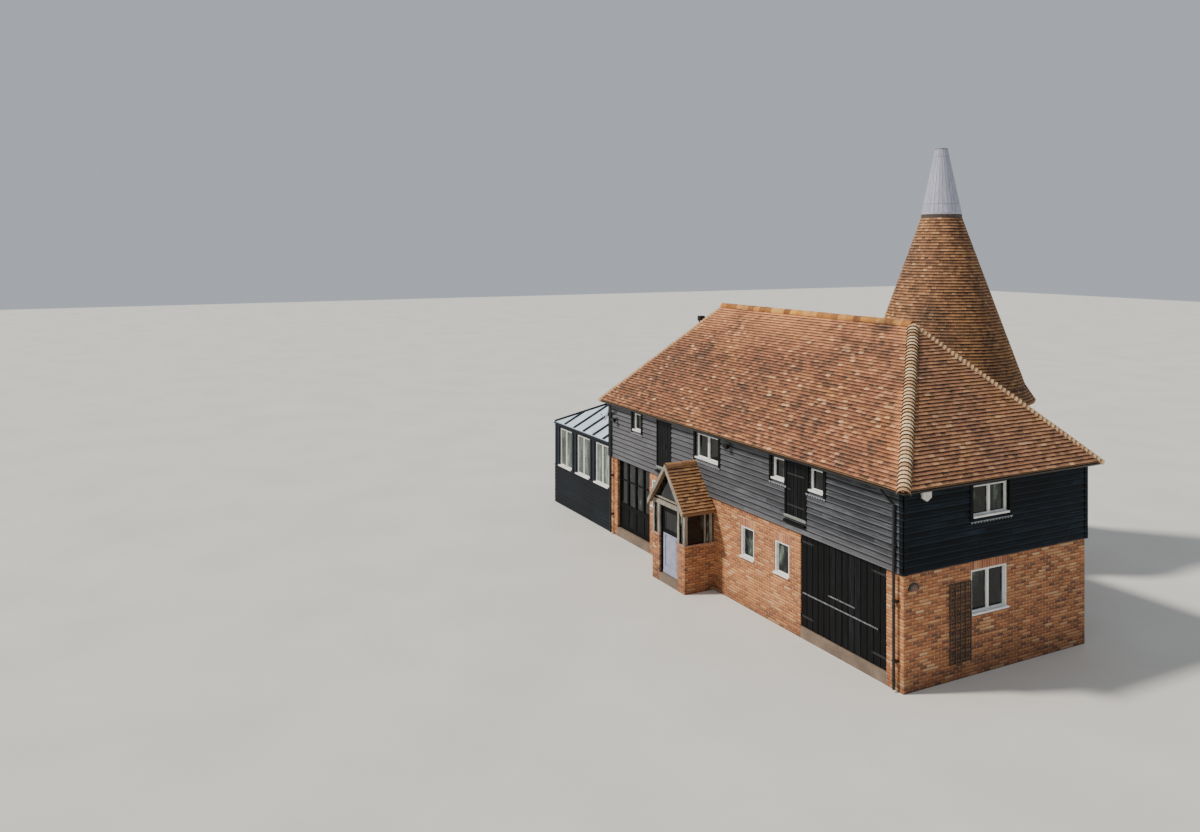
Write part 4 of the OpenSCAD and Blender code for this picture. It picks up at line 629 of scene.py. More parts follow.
# Radius and height where the slope starts, where it turns over the kick, and where it meets the curb
foot, bend, curb = Vector((2.795, 5.118)), Vector((2.5, 5.56)), Vector((0.625, 10.86))
kick, slope_above = (bend - foot).length, (curb - bend).length
rng = random.Random(12)
distance, row = 0.0, 0
while distance < kick + slope_above - 0.02:
    spot = foot.lerp(bend, distance / kick) if distance < kick else bend.lerp(curb, (distance - kick) / slope_above)
    # The slope turns over the kick in a soft curve
    slope = (bend - foot).lerp(curb - bend, min(1, max(0, (distance - kick + 0.3) / 0.6)))
    count = max(24, round(2 * math.pi * spot.x / 0.13))
    bit = row_of_tiles()
    for i in range(count):
        turn = 2 * math.pi * (i + 0.5 * (row % 2)) / count + rng.uniform(-0.002, 0.002)
        # Here X stands out of the slope and Z runs up it
        lean = Matrix.Rotation(math.atan2(slope.y, -slope.x) - math.pi / 2, 4, "Y")
        place = at(kiln_x, kiln_y, 0) @ Matrix.Rotation(turn, 4, "Z") @ at(spot.x, 0, spot.y) @ lean
        lift = tile_t * 1.1 + rng.uniform(-0.002, 0.003)
        tilt = Matrix.Rotation(-math.atan2(tile_t, tile_gauge) + rng.uniform(-0.015, 0.015), 4, "Y")
        place = place @ at(lift, 0, rng.uniform(-0.004, 0.004)) @ tilt @ at(0, 0, 0.06)
        hang_tile(bit, place, (tile_t, 2 * math.pi * spot.x / count - 0.002, 0.13), rng.gauss(0.5, 0.19), 2)
    placed(bm, bit)
    distance += tile_gauge * 0.97
    row += 1
make_piece(bm, "cone_tiles", cone_tiles)
dress(cone_tiles, "roundel_roof")

# The porch roof: the same peg tiles hung on two small slopes, with more moss on them, and ridge tiles bedded
# in mortar along the top.
porch_tiles = tile_material("mossy_clay_peg_tiles", [
    (0.0, "5C4735"), (0.25, "825F46"), (0.5, "A07A58"), (0.75, "B8936C"), (1.0, "9A8562")], 0.5, 0.5)
porch_x, porch_front, wall_y = -1.45, -4.17, -3.09
porch_eave, porch_low, porch_high = 0.99, 2.348, 3.55
rng = random.Random(13)
bm = bmesh.new()
for way, y0, y1 in ((1, porch_front, wall_y), (-1, wall_y, porch_front)):
    x = porch_x + way * porch_eave
    tiled_slope(bm, rng, (x, y0, porch_low), (x, y1, porch_low), porch_high - porch_low, porch_eave, [
        (Vector((porch_x, 0, 0)), Vector((-way, 0, 0))), (Vector((0, porch_front, 0)), Vector((0, -1, 0))),
        (Vector((0, wall_y, 0)), Vector((0, 1, 0)))], start=-0.01)
for i in range(4):
    y = porch_front + i * 0.27
    a, b = (Vector((porch_x, end, porch_high - 0.045)) for end in (y - 0.005, y + 0.275))
    half_tube(bm, rng, a, b, 0.1, 0.1, 0.014)
make_piece(bm, "porch_tiles", porch_tiles)


# Windows: white painted timber casements in a frame set back in the wall, each light a hinged sash with its
# own stiles and rails, a drip on top, two hinges and a fastener inside. Their sills are painted with them.
white_paint = finish("white_gloss_paint_on_softwood", 0.32, (5, 5, 0.65), [
    (0.3, "DDDCD6"), (0.55, "F2F2EF"), (0.8, "F7F7F5")], (0.0008, 0.4), film=120)
# The glass is dark, with painted reflections in pale grey-green streaks
glass = finish("window_glass", 0.02, (1.0, 4, 0.6), [
    (0.36, "0A0C0E"), (0.52, "14191B"), (0.6, "364038"), (0.72, "7C8A80")], stretch=(2.6, 2.6, 1.1),
    also={"Transmission Weight": 0.05, "Specular IOR Level": 0.25})
# Lead sheet dressed over the sills and flashings: dull, soft, streaked white by the rain
lead = finish("weathered_lead_sheet", 0.6, (1.2, 6, 0.65), [
    (0.3, "66696C"), (0.55, "888B8D"), (0.8, "AEB0AE")], (0.002, 0.4), stretch=(9, 9, 2))


def ring(bm, x0, x1, z0, z1, width, y0, y1, edge=0.004):
    """A flat rectangular frame of bars, between two depths, with eased edges."""
    bit = bmesh.new()
    middle = at((x0 + x1) / 2, y0, (z0 + z1) / 2, 90, "X")
    bmesh.ops.create_grid(bit, x_segments=1, y_segments=1, size=0.5,
                          matrix=middle @ Matrix.Diagonal((x1 - x0, z1 - z0, 1, 1)))
    bmesh.ops.inset_region(bit, faces=bit.faces[:], thickness=width, use_boundary=True, use_even_offset=True)
    hole = min(bit.faces, key=lambda f: (f.calc_center_median() - middle.translation).length)
    bmesh.ops.delete(bit, geom=[hole], context="FACES")
    thick = bmesh.ops.extrude_face_region(bit, geom=bit.faces[:])["geom"]
    bmesh.ops.translate(bit, verts=[v for v in thick if isinstance(v, bmesh.types.BMVert)], vec=(0, y1 - y0, 0))
    bmesh.ops.recalc_face_normals(bit, faces=bit.faces)
    if edge:
        sharp = [e for e in bit.edges if len(e.link_faces) == 2 and e.calc_face_angle(0) > 1]
        bmesh.ops.bevel(bit, geom=sharp, offset=edge, affect="EDGES", segments=1, profile=0.5, material=-1)
    placed(bm, bit)


def eased(bm, x0, x1, y0, y1, z0, z1, edge=0.004, place=at(0, 0, 0)):
    """A box with eased edges."""
    bit = bmesh.new()
    block(bit, x0, x1, y0, y1, z0, z1)
    bmesh.ops.bevel(bit, geom=bit.edges[:], offset=edge, affect="EDGES", segments=1, profile=0.5, material=-1)
    placed(bm, bit, place)


def rod(bm, place, radius, depth, segments, top=None):
    """A closed round bar along Z, or a cone with a top radius of its own."""
    bmesh.ops.create_cone(bm, cap_ends=True, segments=segments, radius1=radius, radius2=radius if top is None else top,
                          depth=depth, matrix=place)


def sashes(bm, place, middle, sill, width, height, lights, face=0.06):
    """The sashes of one window; face is how deep its frame stands behind Y = 0."""
    bit = bmesh.new()
    bar, stile = 0.06, 0.018
    light = (width - bar * (lights + 1)) / lights
    for i in range(lights):
        a = middle - width / 2 + bar + i * (light + bar)
        x0, x1, z0, z1 = a - 0.012, a + light + 0.012, sill + bar - 0.012, sill + height - bar + 0.012
        ring(bit, x0, x1, z0, z1, stile, face - 0.012, face + 0.03)
        ring(bit, x0 + stile, x1 - stile, z0 + stile, z1 - stile, 0.008, face + 0.008, face + 0.03, 0)
        eased(bit, x0 - 0.004, x1 + 0.004, face - 0.026, face, z1 - 0.004, z1 + 0.012, 0.003)
        side, grip = (x0, x1 - 0.02) if i == 0 else (x1, x0 + 0.02)
        half_way = (z0 + z1) / 2
        eased(bit, grip - 0.009, grip + 0.009, face + 0.03, face + 0.045, half_way - 0.06, half_way + 0.04, 0.003)
        for hinge in (z0 + 0.12, z1 - 0.18):
            eased(bit, side - 0.007, side + 0.007, face - 0.018, face - 0.008, hinge, hinge + 0.06, 0.002)
    if sill < 3:
        # The outer edge of a sill in brickwork has a rounded nose
        eased(bit, middle - width / 2 - 0.02, middle + width / 2 + 0.02, face - 0.112, face - 0.1,
              sill - 0.004, sill + 0.046, 0.005)
    placed(bm, bit, place)


brick_front, brick_near_end = at(0, -3.05, 0), at(6.95, 0, 0, 90)
brick_back = at(0, 0, 0, 180) @ brick_front
on_kiln = at(kiln_x, kiln_y, 0, 180) @ at(0, -kiln_r, 0)
# Each window is its wall, then its middle, sill, width and height, and its count of lights
lower_windows = [(brick_front, 1.085, 1.345, 0.6, 0.875, 1), (brick_front, 2.605, 1.345, 0.6, 0.875, 1),
                 (brick_front, -3.83, 1.565, 0.6, 0.875, 1), (brick_near_end, -0.345, 1.4, 1.2, 1.045, 2),
                 (brick_back, 4.6, 1.4, 1.2, 1.045, 2), (brick_back, -4.6, 1.4, 1.2, 1.045, 2)]
upper_windows = [(on_front, -4.99, 3.84, 0.55, 0.6, 1), (on_front, -0.845, 3.67, 1.2, 0.77, 2),
                 (on_front, 2.52, 3.84, 0.55, 0.6, 1), (on_front, 4.04, 3.84, 0.55, 0.6, 1),
                 (on_near_end, -0.345, 3.67, 1.2, 0.77, 2), (on_back, 4.6, 3.67, 1.2, 0.77, 2),
                 (on_back, -4.6, 3.67, 1.2, 0.77, 2), (on_far_end, -1.9, 3.84, 0.55, 0.6, 1)]
bm = bmesh.new()
for place, *window in lower_windows:
    sashes(bm, place, *window)
    # The broad outer frame of a window in brickwork, close to the face of the wall
    middle, sill, width, height, lights = window
    bit = bmesh.new()
    ring(bit, middle - width / 2 + 0.002, middle + width / 2 - 0.002, sill + 0.002, sill + height - 0.002,
         0.046, 0.014, 0.062)
    placed(bm, bit, place)
for sill, height in ((1.4, 1.045), (3.67, 0.77)):
    sashes(bm, on_kiln, 0, sill, 1.2, height, 2, 0.0696 + 0.06)
make_piece(bm, "lower_sashes", white_paint)
bm = bmesh.new()
for place, *window in upper_windows:
    sashes(bm, place, *window)
make_piece(bm, "upper_sashes", white_paint)
dress(white_paint, "lower_window_frames", "upper_window_frames", "garden_windows")
dress(glass, "window_glass", "bay_glass", "front_door_glass")

# Each upper window stands in a tarred lining, nailed over the cut ends of the weatherboards, with a lead
# apron dressed down under its sill in scallops.
linings, aprons = bmesh.new(), bmesh.new()
for place, middle, sill, width, height, lights in upper_windows:
    bit = bmesh.new()
    left, right, top, over = middle - width / 2, middle + width / 2, sill + height, min(sill + height + 0.05, 4.49)
    for x in (left - 0.1, right):
        eased(bit, x, x + 0.1, -0.036, 0.01, sill - 0.09, over)
    eased(bit, left, right, -0.03, 0.01, top, over)
    placed(linings, bit, place)
    bit = bmesh.new()
    count = round((width + 0.2) / 0.1)
    step = (width + 0.2) / count
    x = left - 0.1
    block(bit, x, x + width + 0.2, -0.046, -0.037, sill - 0.095, sill - 0.075)
    for i in range(count):
        rod(bit, at(x + step * (i + 0.5), -0.0405 - 0.0005 * (i % 2), sill - 0.098, 90, "X"), 0.026, 0.008, 12)
    placed(aprons, bit, place)
make_piece(aprons, "sill_aprons", lead)

# Soldier arches: bricks stood on end in lime mortar over each window in the brickwork. They are cut from the
# same batch but redder, and stand a hair proud of the wall.
cut_brick, tree, shader, place = new_material("red_soldier_bricks", 0.88)
brick = add(tree, "Attribute", {"attribute_name": "brick"})
clay = add(tree, "ValToRGB", {"stops": [(0.0, "8A523A"), (0.4, "A36242"), (0.75, "B5744C"), (1.0, "C28A60")],
                              "Fac": brick.outputs["Fac"]})
grit = add(tree, "TexNoise", {"Scale": 70, "Detail": 4, "Vector": place})
surface(shader, add(tree, "Mix", {"blend_type": "SOFT_LIGHT", 0: 0.7, 6: clay, 7: grit}), grit, 0.003, 0.6)
mortar = finish("lime_mortar", 0.95, (60, 5), [(0.3, "A8967E"), (0.7, "CDBFA8")])

rng = random.Random(21)
arches, beds = bmesh.new(), bmesh.new()
for place, middle, sill, width, height, lights in lower_windows:
    bit, bed = bmesh.new(), bmesh.new()
    tone = bit.faces.layers.float.new("brick")
    x0, z = middle - width / 2 - 0.05, sill + height
    count = round((width + 0.1) / 0.075)
    for i in range(count):
        a = x0 + (width + 0.1) / count * i
        verts = block(bit, a + 0.006, a + 0.069, -0.003 - rng.uniform(0, 0.002), 0.02, z + 0.004, z + 0.219)
        shade = min(1, max(0, rng.gauss(0.5, 0.25)))
        for f in {f for v in verts for f in v.link_faces}:
            f[tone] = shade
    block(bed, x0, x0 + width + 0.1, -0.0015, 0.015, z, z + 0.223)
    placed(arches, bit, place)
    placed(beds, bed, place)
make_piece(arches, "soldier_arches", cut_brick)
make_piece(beds, "soldier_arch_mortar", mortar)

# Plank doors: square-edged softwood planks with narrow gaps, nailed to ledges and braces behind and painted
# black. The cart doors hang on strap hinges of painted iron and are held shut by two flat drop bars of steel.
black_planks = finish("black_paint_on_planks", 0.6, (1.0, 6, 0.65), [
    (0.35, "020304"), (0.61, "0A0B0D"), (0.9, "26292C")], (0.002, 0.5), stretch=(38, 38, 1.5),
    tone=("plank", 0.18), also={"Specular IOR Level": 0.14})
black_iron = finish("black_painted_iron", 0.42, (25, 6, 0.7), [
    (0.4, "0B0C0E"), (0.64, "141619"), (0.8, "38322E")], (0.0012, 0.5))
worn_steel = finish("rubbed_steel_bars", 0.5, (14, 6, 0.7), [
    (0.35, "55575A"), (0.55, "8E9194"), (0.75, "B9BBBD")], (0.001, 0.4), metallic=1.0)


def planks(bm, rng, x0, x1, y0, y1, z0, z1, count, gap, edge):
    """Upright planks side by side, with a gap between them."""
    tone = bm.faces.layers.float.get("plank") or bm.faces.layers.float.new("plank")
    step = (x1 - x0) / count
    for i in range(count):
        shade = rng.random()
        before = len(bm.faces)
        jut = rng.uniform(0, 0.002)
        eased(bm, x0 + step * i + gap / 2, x0 + step * (i + 1) - gap / 2, y0 + jut, y1, z0, z1, edge)
        bm.faces.ensure_lookup_table()
        for f in bm.faces[before:]:
            f[tone] = shade


def stud(bm, x, y, z, radius):
    """The domed head of a coach bolt on a face towards -Y."""
    bmesh.ops.create_uvsphere(bm, u_segments=8, v_segments=5, radius=radius,
                              matrix=at(x, y, z) @ Matrix.Diagonal((1, 0.5, 1, 1)))


def cart_door(name, hinge_x, way, bar_from, seed):
    """One leaf from its jamb; way is +1 for the left leaf and -1 for the right."""
    rng = random.Random(seed)
    wood, iron, steel_bars = bmesh.new(), bmesh.new(), bmesh.new()
    x0, x1, face, back = 0.008, 1.521, 0.02, 0.065
    planks(wood, rng, x0, x1, face, back, 0.308, 2.672, 7, 0.014, 0.008)
    for z in (0.458, 1.415, 2.372):
        eased(wood, x0 + 0.06, x1 - 0.06, back, back + 0.03, z, z + 0.15, 0.005)
    for z in (0.558, 2.452):
        eased(iron, 0.017, 0.48, 0.012, 0.0205, z, z + 0.05, 0.002)
        rod(iron, at(0.017, 0.001, z + 0.025), 0.011, 0.06, 20)
        rod(iron, at(0.48, 0.016, z + 0.025, 90, "X"), 0.025, 0.008, 20)
        for x in (0.09, 0.21, 0.33, 0.45):
            stud(iron, x, 0.012, z + 0.025, 0.009)
    for a, z in ((bar_from, 1.15), (x1 - 0.48, 1.38)):
        eased(steel_bars, a, x1, 0.009, 0.0205, z, z + 0.034)
        eased(iron, a - 0.004, a + 0.016, 0.004, 0.02, z - 0.03, z + 0.055, 0.003)
        for x in (a + 0.06, (a + x1) / 2, x1 - 0.06):
            stud(iron, x, 0.012, z + 0.025, 0.011)
    # Braces rise from the hinge side between the ledges
    for z in (0.608, 1.565):
        low, high = Vector((x0 + 0.2, back + 0.015, z)), Vector((x1 - 0.2, back + 0.015, z + 0.807))
        half = (high - low).length / 2
        tilt = Matrix.Rotation(-math.atan2(high.z - low.z, high.x - low.x), 4, "Y")
        eased(wood, -half, half, -0.015, 0.015, -0.055, 0.055, 0.004, Matrix.Translation((low + high) / 2) @ tilt)
    for bm in (wood, iron, steel_bars):
        bmesh.ops.transform(bm, matrix=at(hinge_x, -3.05, 0) @ Matrix.Diagonal((way, 1, 1, 1)), verts=bm.verts)
        if way < 0:
            bmesh.ops.reverse_faces(bm, faces=bm.faces)
    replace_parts(make_piece(wood, name + "_planks", black_planks, name), name)
    make_piece(iron, name + "_irons", black_iron, name)
    make_piece(steel_bars, name + "_bars", worn_steel, name)


cart_door("cart_door_left", 3.37, 1, 0.06, 31)
cart_door("cart_door_right", 6.42, -1, 0.27, 32)
dress(black_iron, "cart_hinge_pins")

# The linings beside the upper windows are broad planed boards, painted black, nailed over the cut ends
# of the weatherboards.
make_piece(linings, "upper_window_linings", black_planks)

# The loft doors: narrow plank doors fixed shut in tarred linings, with a grey board and a ledge under each.
# The taking-in door has iron straps and a latch; the other has a small pull.
bm, iron, grey = bmesh.new(), bmesh.new(), bmesh.new()
rng = random.Random(33)
for middle, foot in ((-3.265, 2.99), (3.24, 3.05)):
    planks(bm, rng, middle - 0.37, middle + 0.37, -0.02, 0.025, foot, 4.44, 5, 0.01, 0.006)
    for z in (foot + 0.15, 4.14):
        eased(bm, middle - 0.37, middle + 0.37, 0.025, 0.055, z, z + 0.15)
    for x in (middle - 0.44, middle + 0.38):
        eased(bm, x, x + 0.06, -0.034, 0.0, foot - 0.06, 4.498)
    eased(bm, middle - 0.44, middle + 0.44, -0.05, 0.0, 4.44, 4.498)
    eased(bm, middle - 0.43, middle + 0.43, -0.09, 0.0, foot - 0.19, foot - 0.13, 0.006)
    eased(grey, middle - 0.44, middle + 0.44, -0.055, 0.0, foot - 0.07, foot, 0.005)
for z in (3.3, 4.1):
    eased(iron, 3.24 - 0.32, 3.24 + 0.36, -0.028, -0.02, z, z + 0.04, 0.002)
eased(iron, 2.93, 3.07, -0.034, -0.02, 3.7, 3.735, 0.003)
rod(iron, at(-3.17, -0.045, 3.66), 0.01, 0.12, 12)
for z in (3.6, 3.72):
    eased(iron, -3.178, -3.162, -0.045, -0.018, z - 0.008, z + 0.008, 0.002)
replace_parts(make_piece(bm, "loft_door_planks", black_planks, place=on_front), "loft_doors")
make_piece(iron, "loft_door_irons", black_iron, place=on_front)
grey_wood = finish("bleached_sill_board", 0.75, (1.2, 6, 0.65), [
    (0.3, "5F625F"), (0.6, "8B8D88"), (0.85, "A9AAA4")], (0.002, 0.5), stretch=(1.5, 30, 30))
make_piece(grey, "loft_door_sills", grey_wood, place=on_front)


# The porch: a softwood frame on two dwarf walls, its limewashed posts, plates and tie beam bleached to a pale
# grey-cream and pegged together. It is glazed all round, its panes held by black beads.
bleached_wood, tree, shader, place = new_material("bleached_limewashed_timber", 0.8)
knots = add(tree, "TexNoise", {"Scale": 3.0, "Detail": 6, "Roughness": 0.65, "Vector": place})
stretch = add(tree, "Mapping", {"Scale": (28, 28, 2.2), "Vector": place})
grain = add(tree, "TexNoise", {"Scale": 1.3, "Detail": 6, "Roughness": 0.65, "Vector": stretch})
both = add(tree, "Math", {"operation": "MULTIPLY_ADD", 0: knots, 1: 0.5, 2: grain})
tone = add(tree, "ValToRGB", {"stops": [(0.45, "453D35"), (0.66, "766C60"), (0.95, "ADA596")], "Fac": both})
surface(shader, tone, grain, 0.002, 0.6)
dress(bleached_wood, "porch_frame")

bm = bmesh.new()
for s in (-1, 1):
    # Pegs through the joints of the posts and plates
    for y in (-4.01, -3.16):
        for z in (2.21, 2.24):
            rod(bm, at(porch_x + s * 0.903, y, z, 90, "Y"), 0.009, 0.012, 8)
    # Soffit laths under the eaves of the porch
    eased(bm, porch_x + s * 0.955 - 0.012, porch_x + s * 0.955 + 0.012, -4.16, -3.09, 2.25, 2.318, 0.003)
# The sill of the gable light, a finger's width above the tie beam
eased(bm, porch_x - 0.7, porch_x + 0.7, -4.066, -4.018, 2.475, 2.52)
make_piece(bm, "porch_trim", bleached_wood)

bm = bmesh.new()
pane_foot, pane_head, bead = 1.391, 2.289, 0.016
x_to_y = Matrix(((0, 1, 0, 0), (1, 0, 0, 0), (0, 0, 1, 0), (0, 0, 0, 1)))
for s in (-1, 1):
    # Beads round each pane in the sides, drawn along X from the front and turned to stand in the side
    bit = bmesh.new()
    for y0, y1 in ((-3.96, -3.385), (-3.325, -3.21), (-3.11, -3.05)):
        for face in (0.0085, -0.0205):
            ring(bit, y0 + 0.001, y1 - 0.001, pane_foot, pane_head, bead, face, face + 0.012, 0.002)
    bmesh.ops.reverse_faces(bit, faces=bit.faces)
    placed(bm, bit, at(porch_x + s * 0.85, 0, 0) @ x_to_y)
    # Beads round the narrow panes beside the door, outside and inside
    a, b = sorted((porch_x + s * 0.601, porch_x + s * 0.799))
    for face in (-4.034, -3.996):
        ring(bm, a, b, pane_foot, pane_head, bead, face, face + 0.012, 0.002)
make_piece(bm, "porch_glazing_beads", black_planks)

# A thin strip of mortar along each verge beds the end tiles of the porch on its bargeboards. It is struck
# off flush with the boards.
bm = bmesh.new()
porch_rise = porch_high - porch_low
for s in (-1, 1):
    bit = bmesh.new()
    eased(bit, 0.0, math.hypot(porch_rise, porch_eave) + 0.01, -0.022, 0.0, -0.03, 0.004, 0.003,
          Matrix.Rotation(-math.atan2(porch_rise, porch_eave), 4, "Y"))
    if s < 0:
        bmesh.ops.reverse_faces(bit, faces=bit.faces)
    placed(bm, bit, at(porch_x, -4.166, 0) @ Matrix.Diagonal((s, 1, 1, 1)) @ at(-porch_eave, 0, porch_low))
make_piece(bm, "porch_verge_mortar", mortar)

# Coping: a course of bricks on edge, bedded in mortar on the dwarf walls of the porch. Lichen has crusted
# their tops.
coping, tree, shader, place = new_material("weathered_brick_coping", 0.9)
xyz = add(tree, "SeparateXYZ", {0: place})
sides = add(tree, "CombineXYZ", {0: xyz.outputs[1], 1: xyz.outputs[0]})
edge_bricks = add(tree, "TexBrick", {
    "offset": 0.0, "Scale": 1.0, "Brick Width": 0.075, "Row Height": 0.26, "Mortar Size": 0.006,
    "Mortar Smooth": 0.3, "Color1": "8F5F48", "Color2": "BB8564", "Mortar": "BFAF98", "Vector": sides})
lichen = add(tree, "TexNoise", {"Scale": 11, "Detail": 7, "Roughness": 0.75, "Vector": place})
surface(shader, washed(tree, edge_bricks, lichen, (0.5, 0.68, 0.0, 0.8), "B5AC96"), lichen, 0.006, 0.6)
dress(coping, "porch_coping")

# The front door: painted a lavender grey below and black round its glass, in a black frame between the
# porch's returns, with a moulding planted round the panel and steel furniture. The bare plate takes letters.
lavender = finish("lavender_grey_eggshell_paint", 0.45, (6, 5), [
    (0.3, "8C8EA3"), (0.6, "9C9EB4"), (0.85, "A9ABC0")], (0.0008, 0.4), film=150)
steel = finish("brushed_steel_door_furniture", 0.28, (60, 4), [(0.3, "A9A8A2"), (0.7, "C8C7C2")], metallic=1.0)
dress(lavender, "front_door")
dress(black_planks, "front_door_frame")
door_place = at(-1.95, -4.06, 0)
bm = bmesh.new()
ring(bm, 0.166, 0.834, 0.458, 1.432, 0.028, 0.09, 0.102, 0.003)
eased(bm, 0.238, 0.762, 0.1, 0.111, 0.53, 1.36, 0.006)
eased(bm, 0.07, 0.93, 0.084, 0.098, 0.262, 0.33, 0.006)
make_piece(bm, "front_door_mouldings", lavender, "front_door", door_place)
bm = bmesh.new()
ring(bm, 0.07, 0.93, 1.46, 2.218, 0.112, 0.088, 0.0985, 0.003)
make_piece(bm, "front_door_glazing_frame", black_planks, "front_door", door_place)
bm = bmesh.new()
eased(bm, 0.856, 0.894, 0.088, 0.098, 1.24, 1.42, 0.003)
rod(bm, at(0.83, 0.062, 1.34, 90, "Y"), 0.01, 0.12, 16)
rod(bm, at(0.875, 0.07, 1.34, 90, "X"), 0.009, 0.045, 16)
eased(bm, 0.37, 0.63, 0.092, 0.098, 1.45, 1.5, 0.003)
make_piece(bm, "front_door_furniture", steel, "front_door", door_place)

# A stop runs up the right jamb of the front door. It is a softwood strip nailed to the frame and painted white
# with the windows.
bm = bmesh.new()
eased(bm, porch_x + 0.445, porch_x + 0.497, -4.022, -4.008, 0.262, 2.286, 0.003)
make_piece(bm, "front_door_stop", white_paint)

# The glazed bay: posts and rails painted black, with boards below and glass above, where the wagons
# once drove in. Beads hold the glass.
dress(black_planks, "bay_screen")
beads, panels = bmesh.new(), bmesh.new()
rng = random.Random(41)
bay_far, bay_wide, bay_post = -6.44, 2.19, 0.09
bay_light = (bay_wide - bay_post * 5) / 4
for i in range(4):
    x = bay_far + bay_post + i * (bay_light + bay_post)
    ring(beads, x, x + bay_light, 1.15, 2.59, 0.016, 0.1, 0.135, 0.003)
    ring(beads, x, x + bay_light, 0.39, 1.06, 0.02, 0.092, 0.122)
    eased(beads, x, x + bay_light, 0.1, 0.16, 1.95, 1.985)
    planks(panels, rng, x + 0.02, x + bay_light - 0.02, 0.108, 0.121, 0.41, 1.04, 4, 0.005, 0.002)
make_piece(beads, "bay_beads", black_planks, place=brick_front)
make_piece(panels, "bay_panels", black_planks, place=brick_front)

# The garden room: a timber frame painted dark blue-grey on boarded walls, white casements between broad
# posts, and a hipped roof of pale tinted glass under glazing bars painted to match.
slate_blue = finish("slate_blue_paint", 0.5, (4, 5), [
    (0.3, "0B1119"), (0.6, "121A25"), (0.85, "212C38")], (0.0008, 0.4), film=120,
    also={"Specular IOR Level": 0.2})
# The upright panes carry a painted reflection of the pale sky and the green of a garden
side_glass = finish("pane_glass_with_painted_reflection", 0.04, (1.1, 4, 0.6), [
    (0.34, "1C2420"), (0.48, "4C584E"), (0.58, "748176"), (0.72, "B0B9B0")], stretch=(2.6, 2.6, 0.9),
    also={"Transmission Weight": 0.2})
roof_glass = finish("pale_tinted_roof_glass", 0.12, (1.3, 5, 0.6), [
    (0.3, "BFD5E6"), (0.55, "DCE9F3"), (0.8, "F3F8FB")], also={"Transmission Weight": 0.1})
dress(slate_blue, "garden_frame", "garden_rafters")
dress(side_glass, "garden_glass")
dress(roof_glass, "garden_roof_glass")

garden_x0, garden_x1, garden_y0, garden_y1 = -11.55, -6.99, -3.05, 0.95
garden_front = at(garden_x0, garden_y0, 0)
garden_back = at(0, garden_y0 + garden_y1, 0) @ Matrix.Diagonal((1, -1, 1, 1)) @ garden_front
garden_end = at(garden_x0, garden_y1, 0, -90)
garden_long, garden_deep, post = 4.56, 4.0, 0.43
posts, casements = bmesh.new(), bmesh.new()
for place, length, last in ((garden_front, garden_long, 0.08), (garden_back, garden_long, 0.08),
                            (garden_end, garden_deep, post)):
    width = (length - post - last - 2 * post) / 3
    middles = [post + i * (width + post) + width / 2 for i in range(3)]
    bit, glazed = bmesh.new(), bmesh.new()
    # Pilasters and rails planted on the frame
    edges = [0.0] + [m + s * width / 2 for m in middles for s in (-1, 1)] + [length]
    for a, b in zip(edges[::2], edges[1::2]):
        if b - a > 0.2:
            eased(bit, a + 0.02, a + 0.15, -0.018, 0.0, 1.5, 2.94, 0.005)
            eased(bit, b - 0.15, b - 0.02, -0.018, 0.0, 1.5, 2.94, 0.005)
    eased(bit, -0.03, length, -0.05, 0.0, 3.05, 3.1, 0.006)
    eased(bit, -0.012, length, -0.02, 0.0, 2.96, 3.0)
    eased(bit, -0.012, length, -0.024, 0.0, 1.42, 1.478, 0.005)
    for m in middles:
        sashes(glazed, at(0, 0, 0), m, 1.48, width, 1.47, 2, 0.04)
    for drawing, piece in ((bit, posts), (glazed, casements)):
        if place is garden_back:
            bmesh.ops.reverse_faces(drawing, faces=drawing.faces)
        placed(piece, drawing, place)
make_piece(posts, "garden_room_pilasters", slate_blue)
make_piece(casements, "garden_room_sashes", white_paint)
garden_tar = tar_material("tarred_garden_room_boards", "020304", "05090E", "0B1118", "1C2630", 0.2,
                          foot=0.02, gauge=0.14)
for name, place, length, seed in (("front", garden_front, garden_long, 51), ("end", garden_end, garden_deep, 52),
                                  ("back", at(garden_x1, garden_y1, 0, 180), garden_long, 53)):
    weatherboards("garden_room_boards_" + name, place, 0.0, length, seed, garden_tar, foot=0.02, head=1.42,
                  gauge=0.14, thick=0.018)
dress(garden_tar, "garden_plinth")


# Glazing bars over the glass, a ridge capping and a turned finial where the hips meet. They are screwed down
# to the rafters through the joints of the panes.
def bar_between(bm, a, b, wide, deep):
    """A straight bar with eased edges from a to b, its top face uppermost."""
    a, b = Vector(a), Vector(b)
    line = (b - a).normalized()
    side = line.cross(Vector((0, 0, 1))).normalized()
    turn = Matrix((line, side, line.cross(side) * -1)).transposed().to_4x4()
    turn.translation = (a + b) / 2
    bit = bmesh.new()
    reach = (b - a).length / 2
    eased(bit, -reach, reach, -wide / 2, wide / 2, -deep / 2, deep / 2, 0.004, turn)
    bmesh.ops.recalc_face_normals(bit, faces=bit.faces)
    placed(bm, bit)


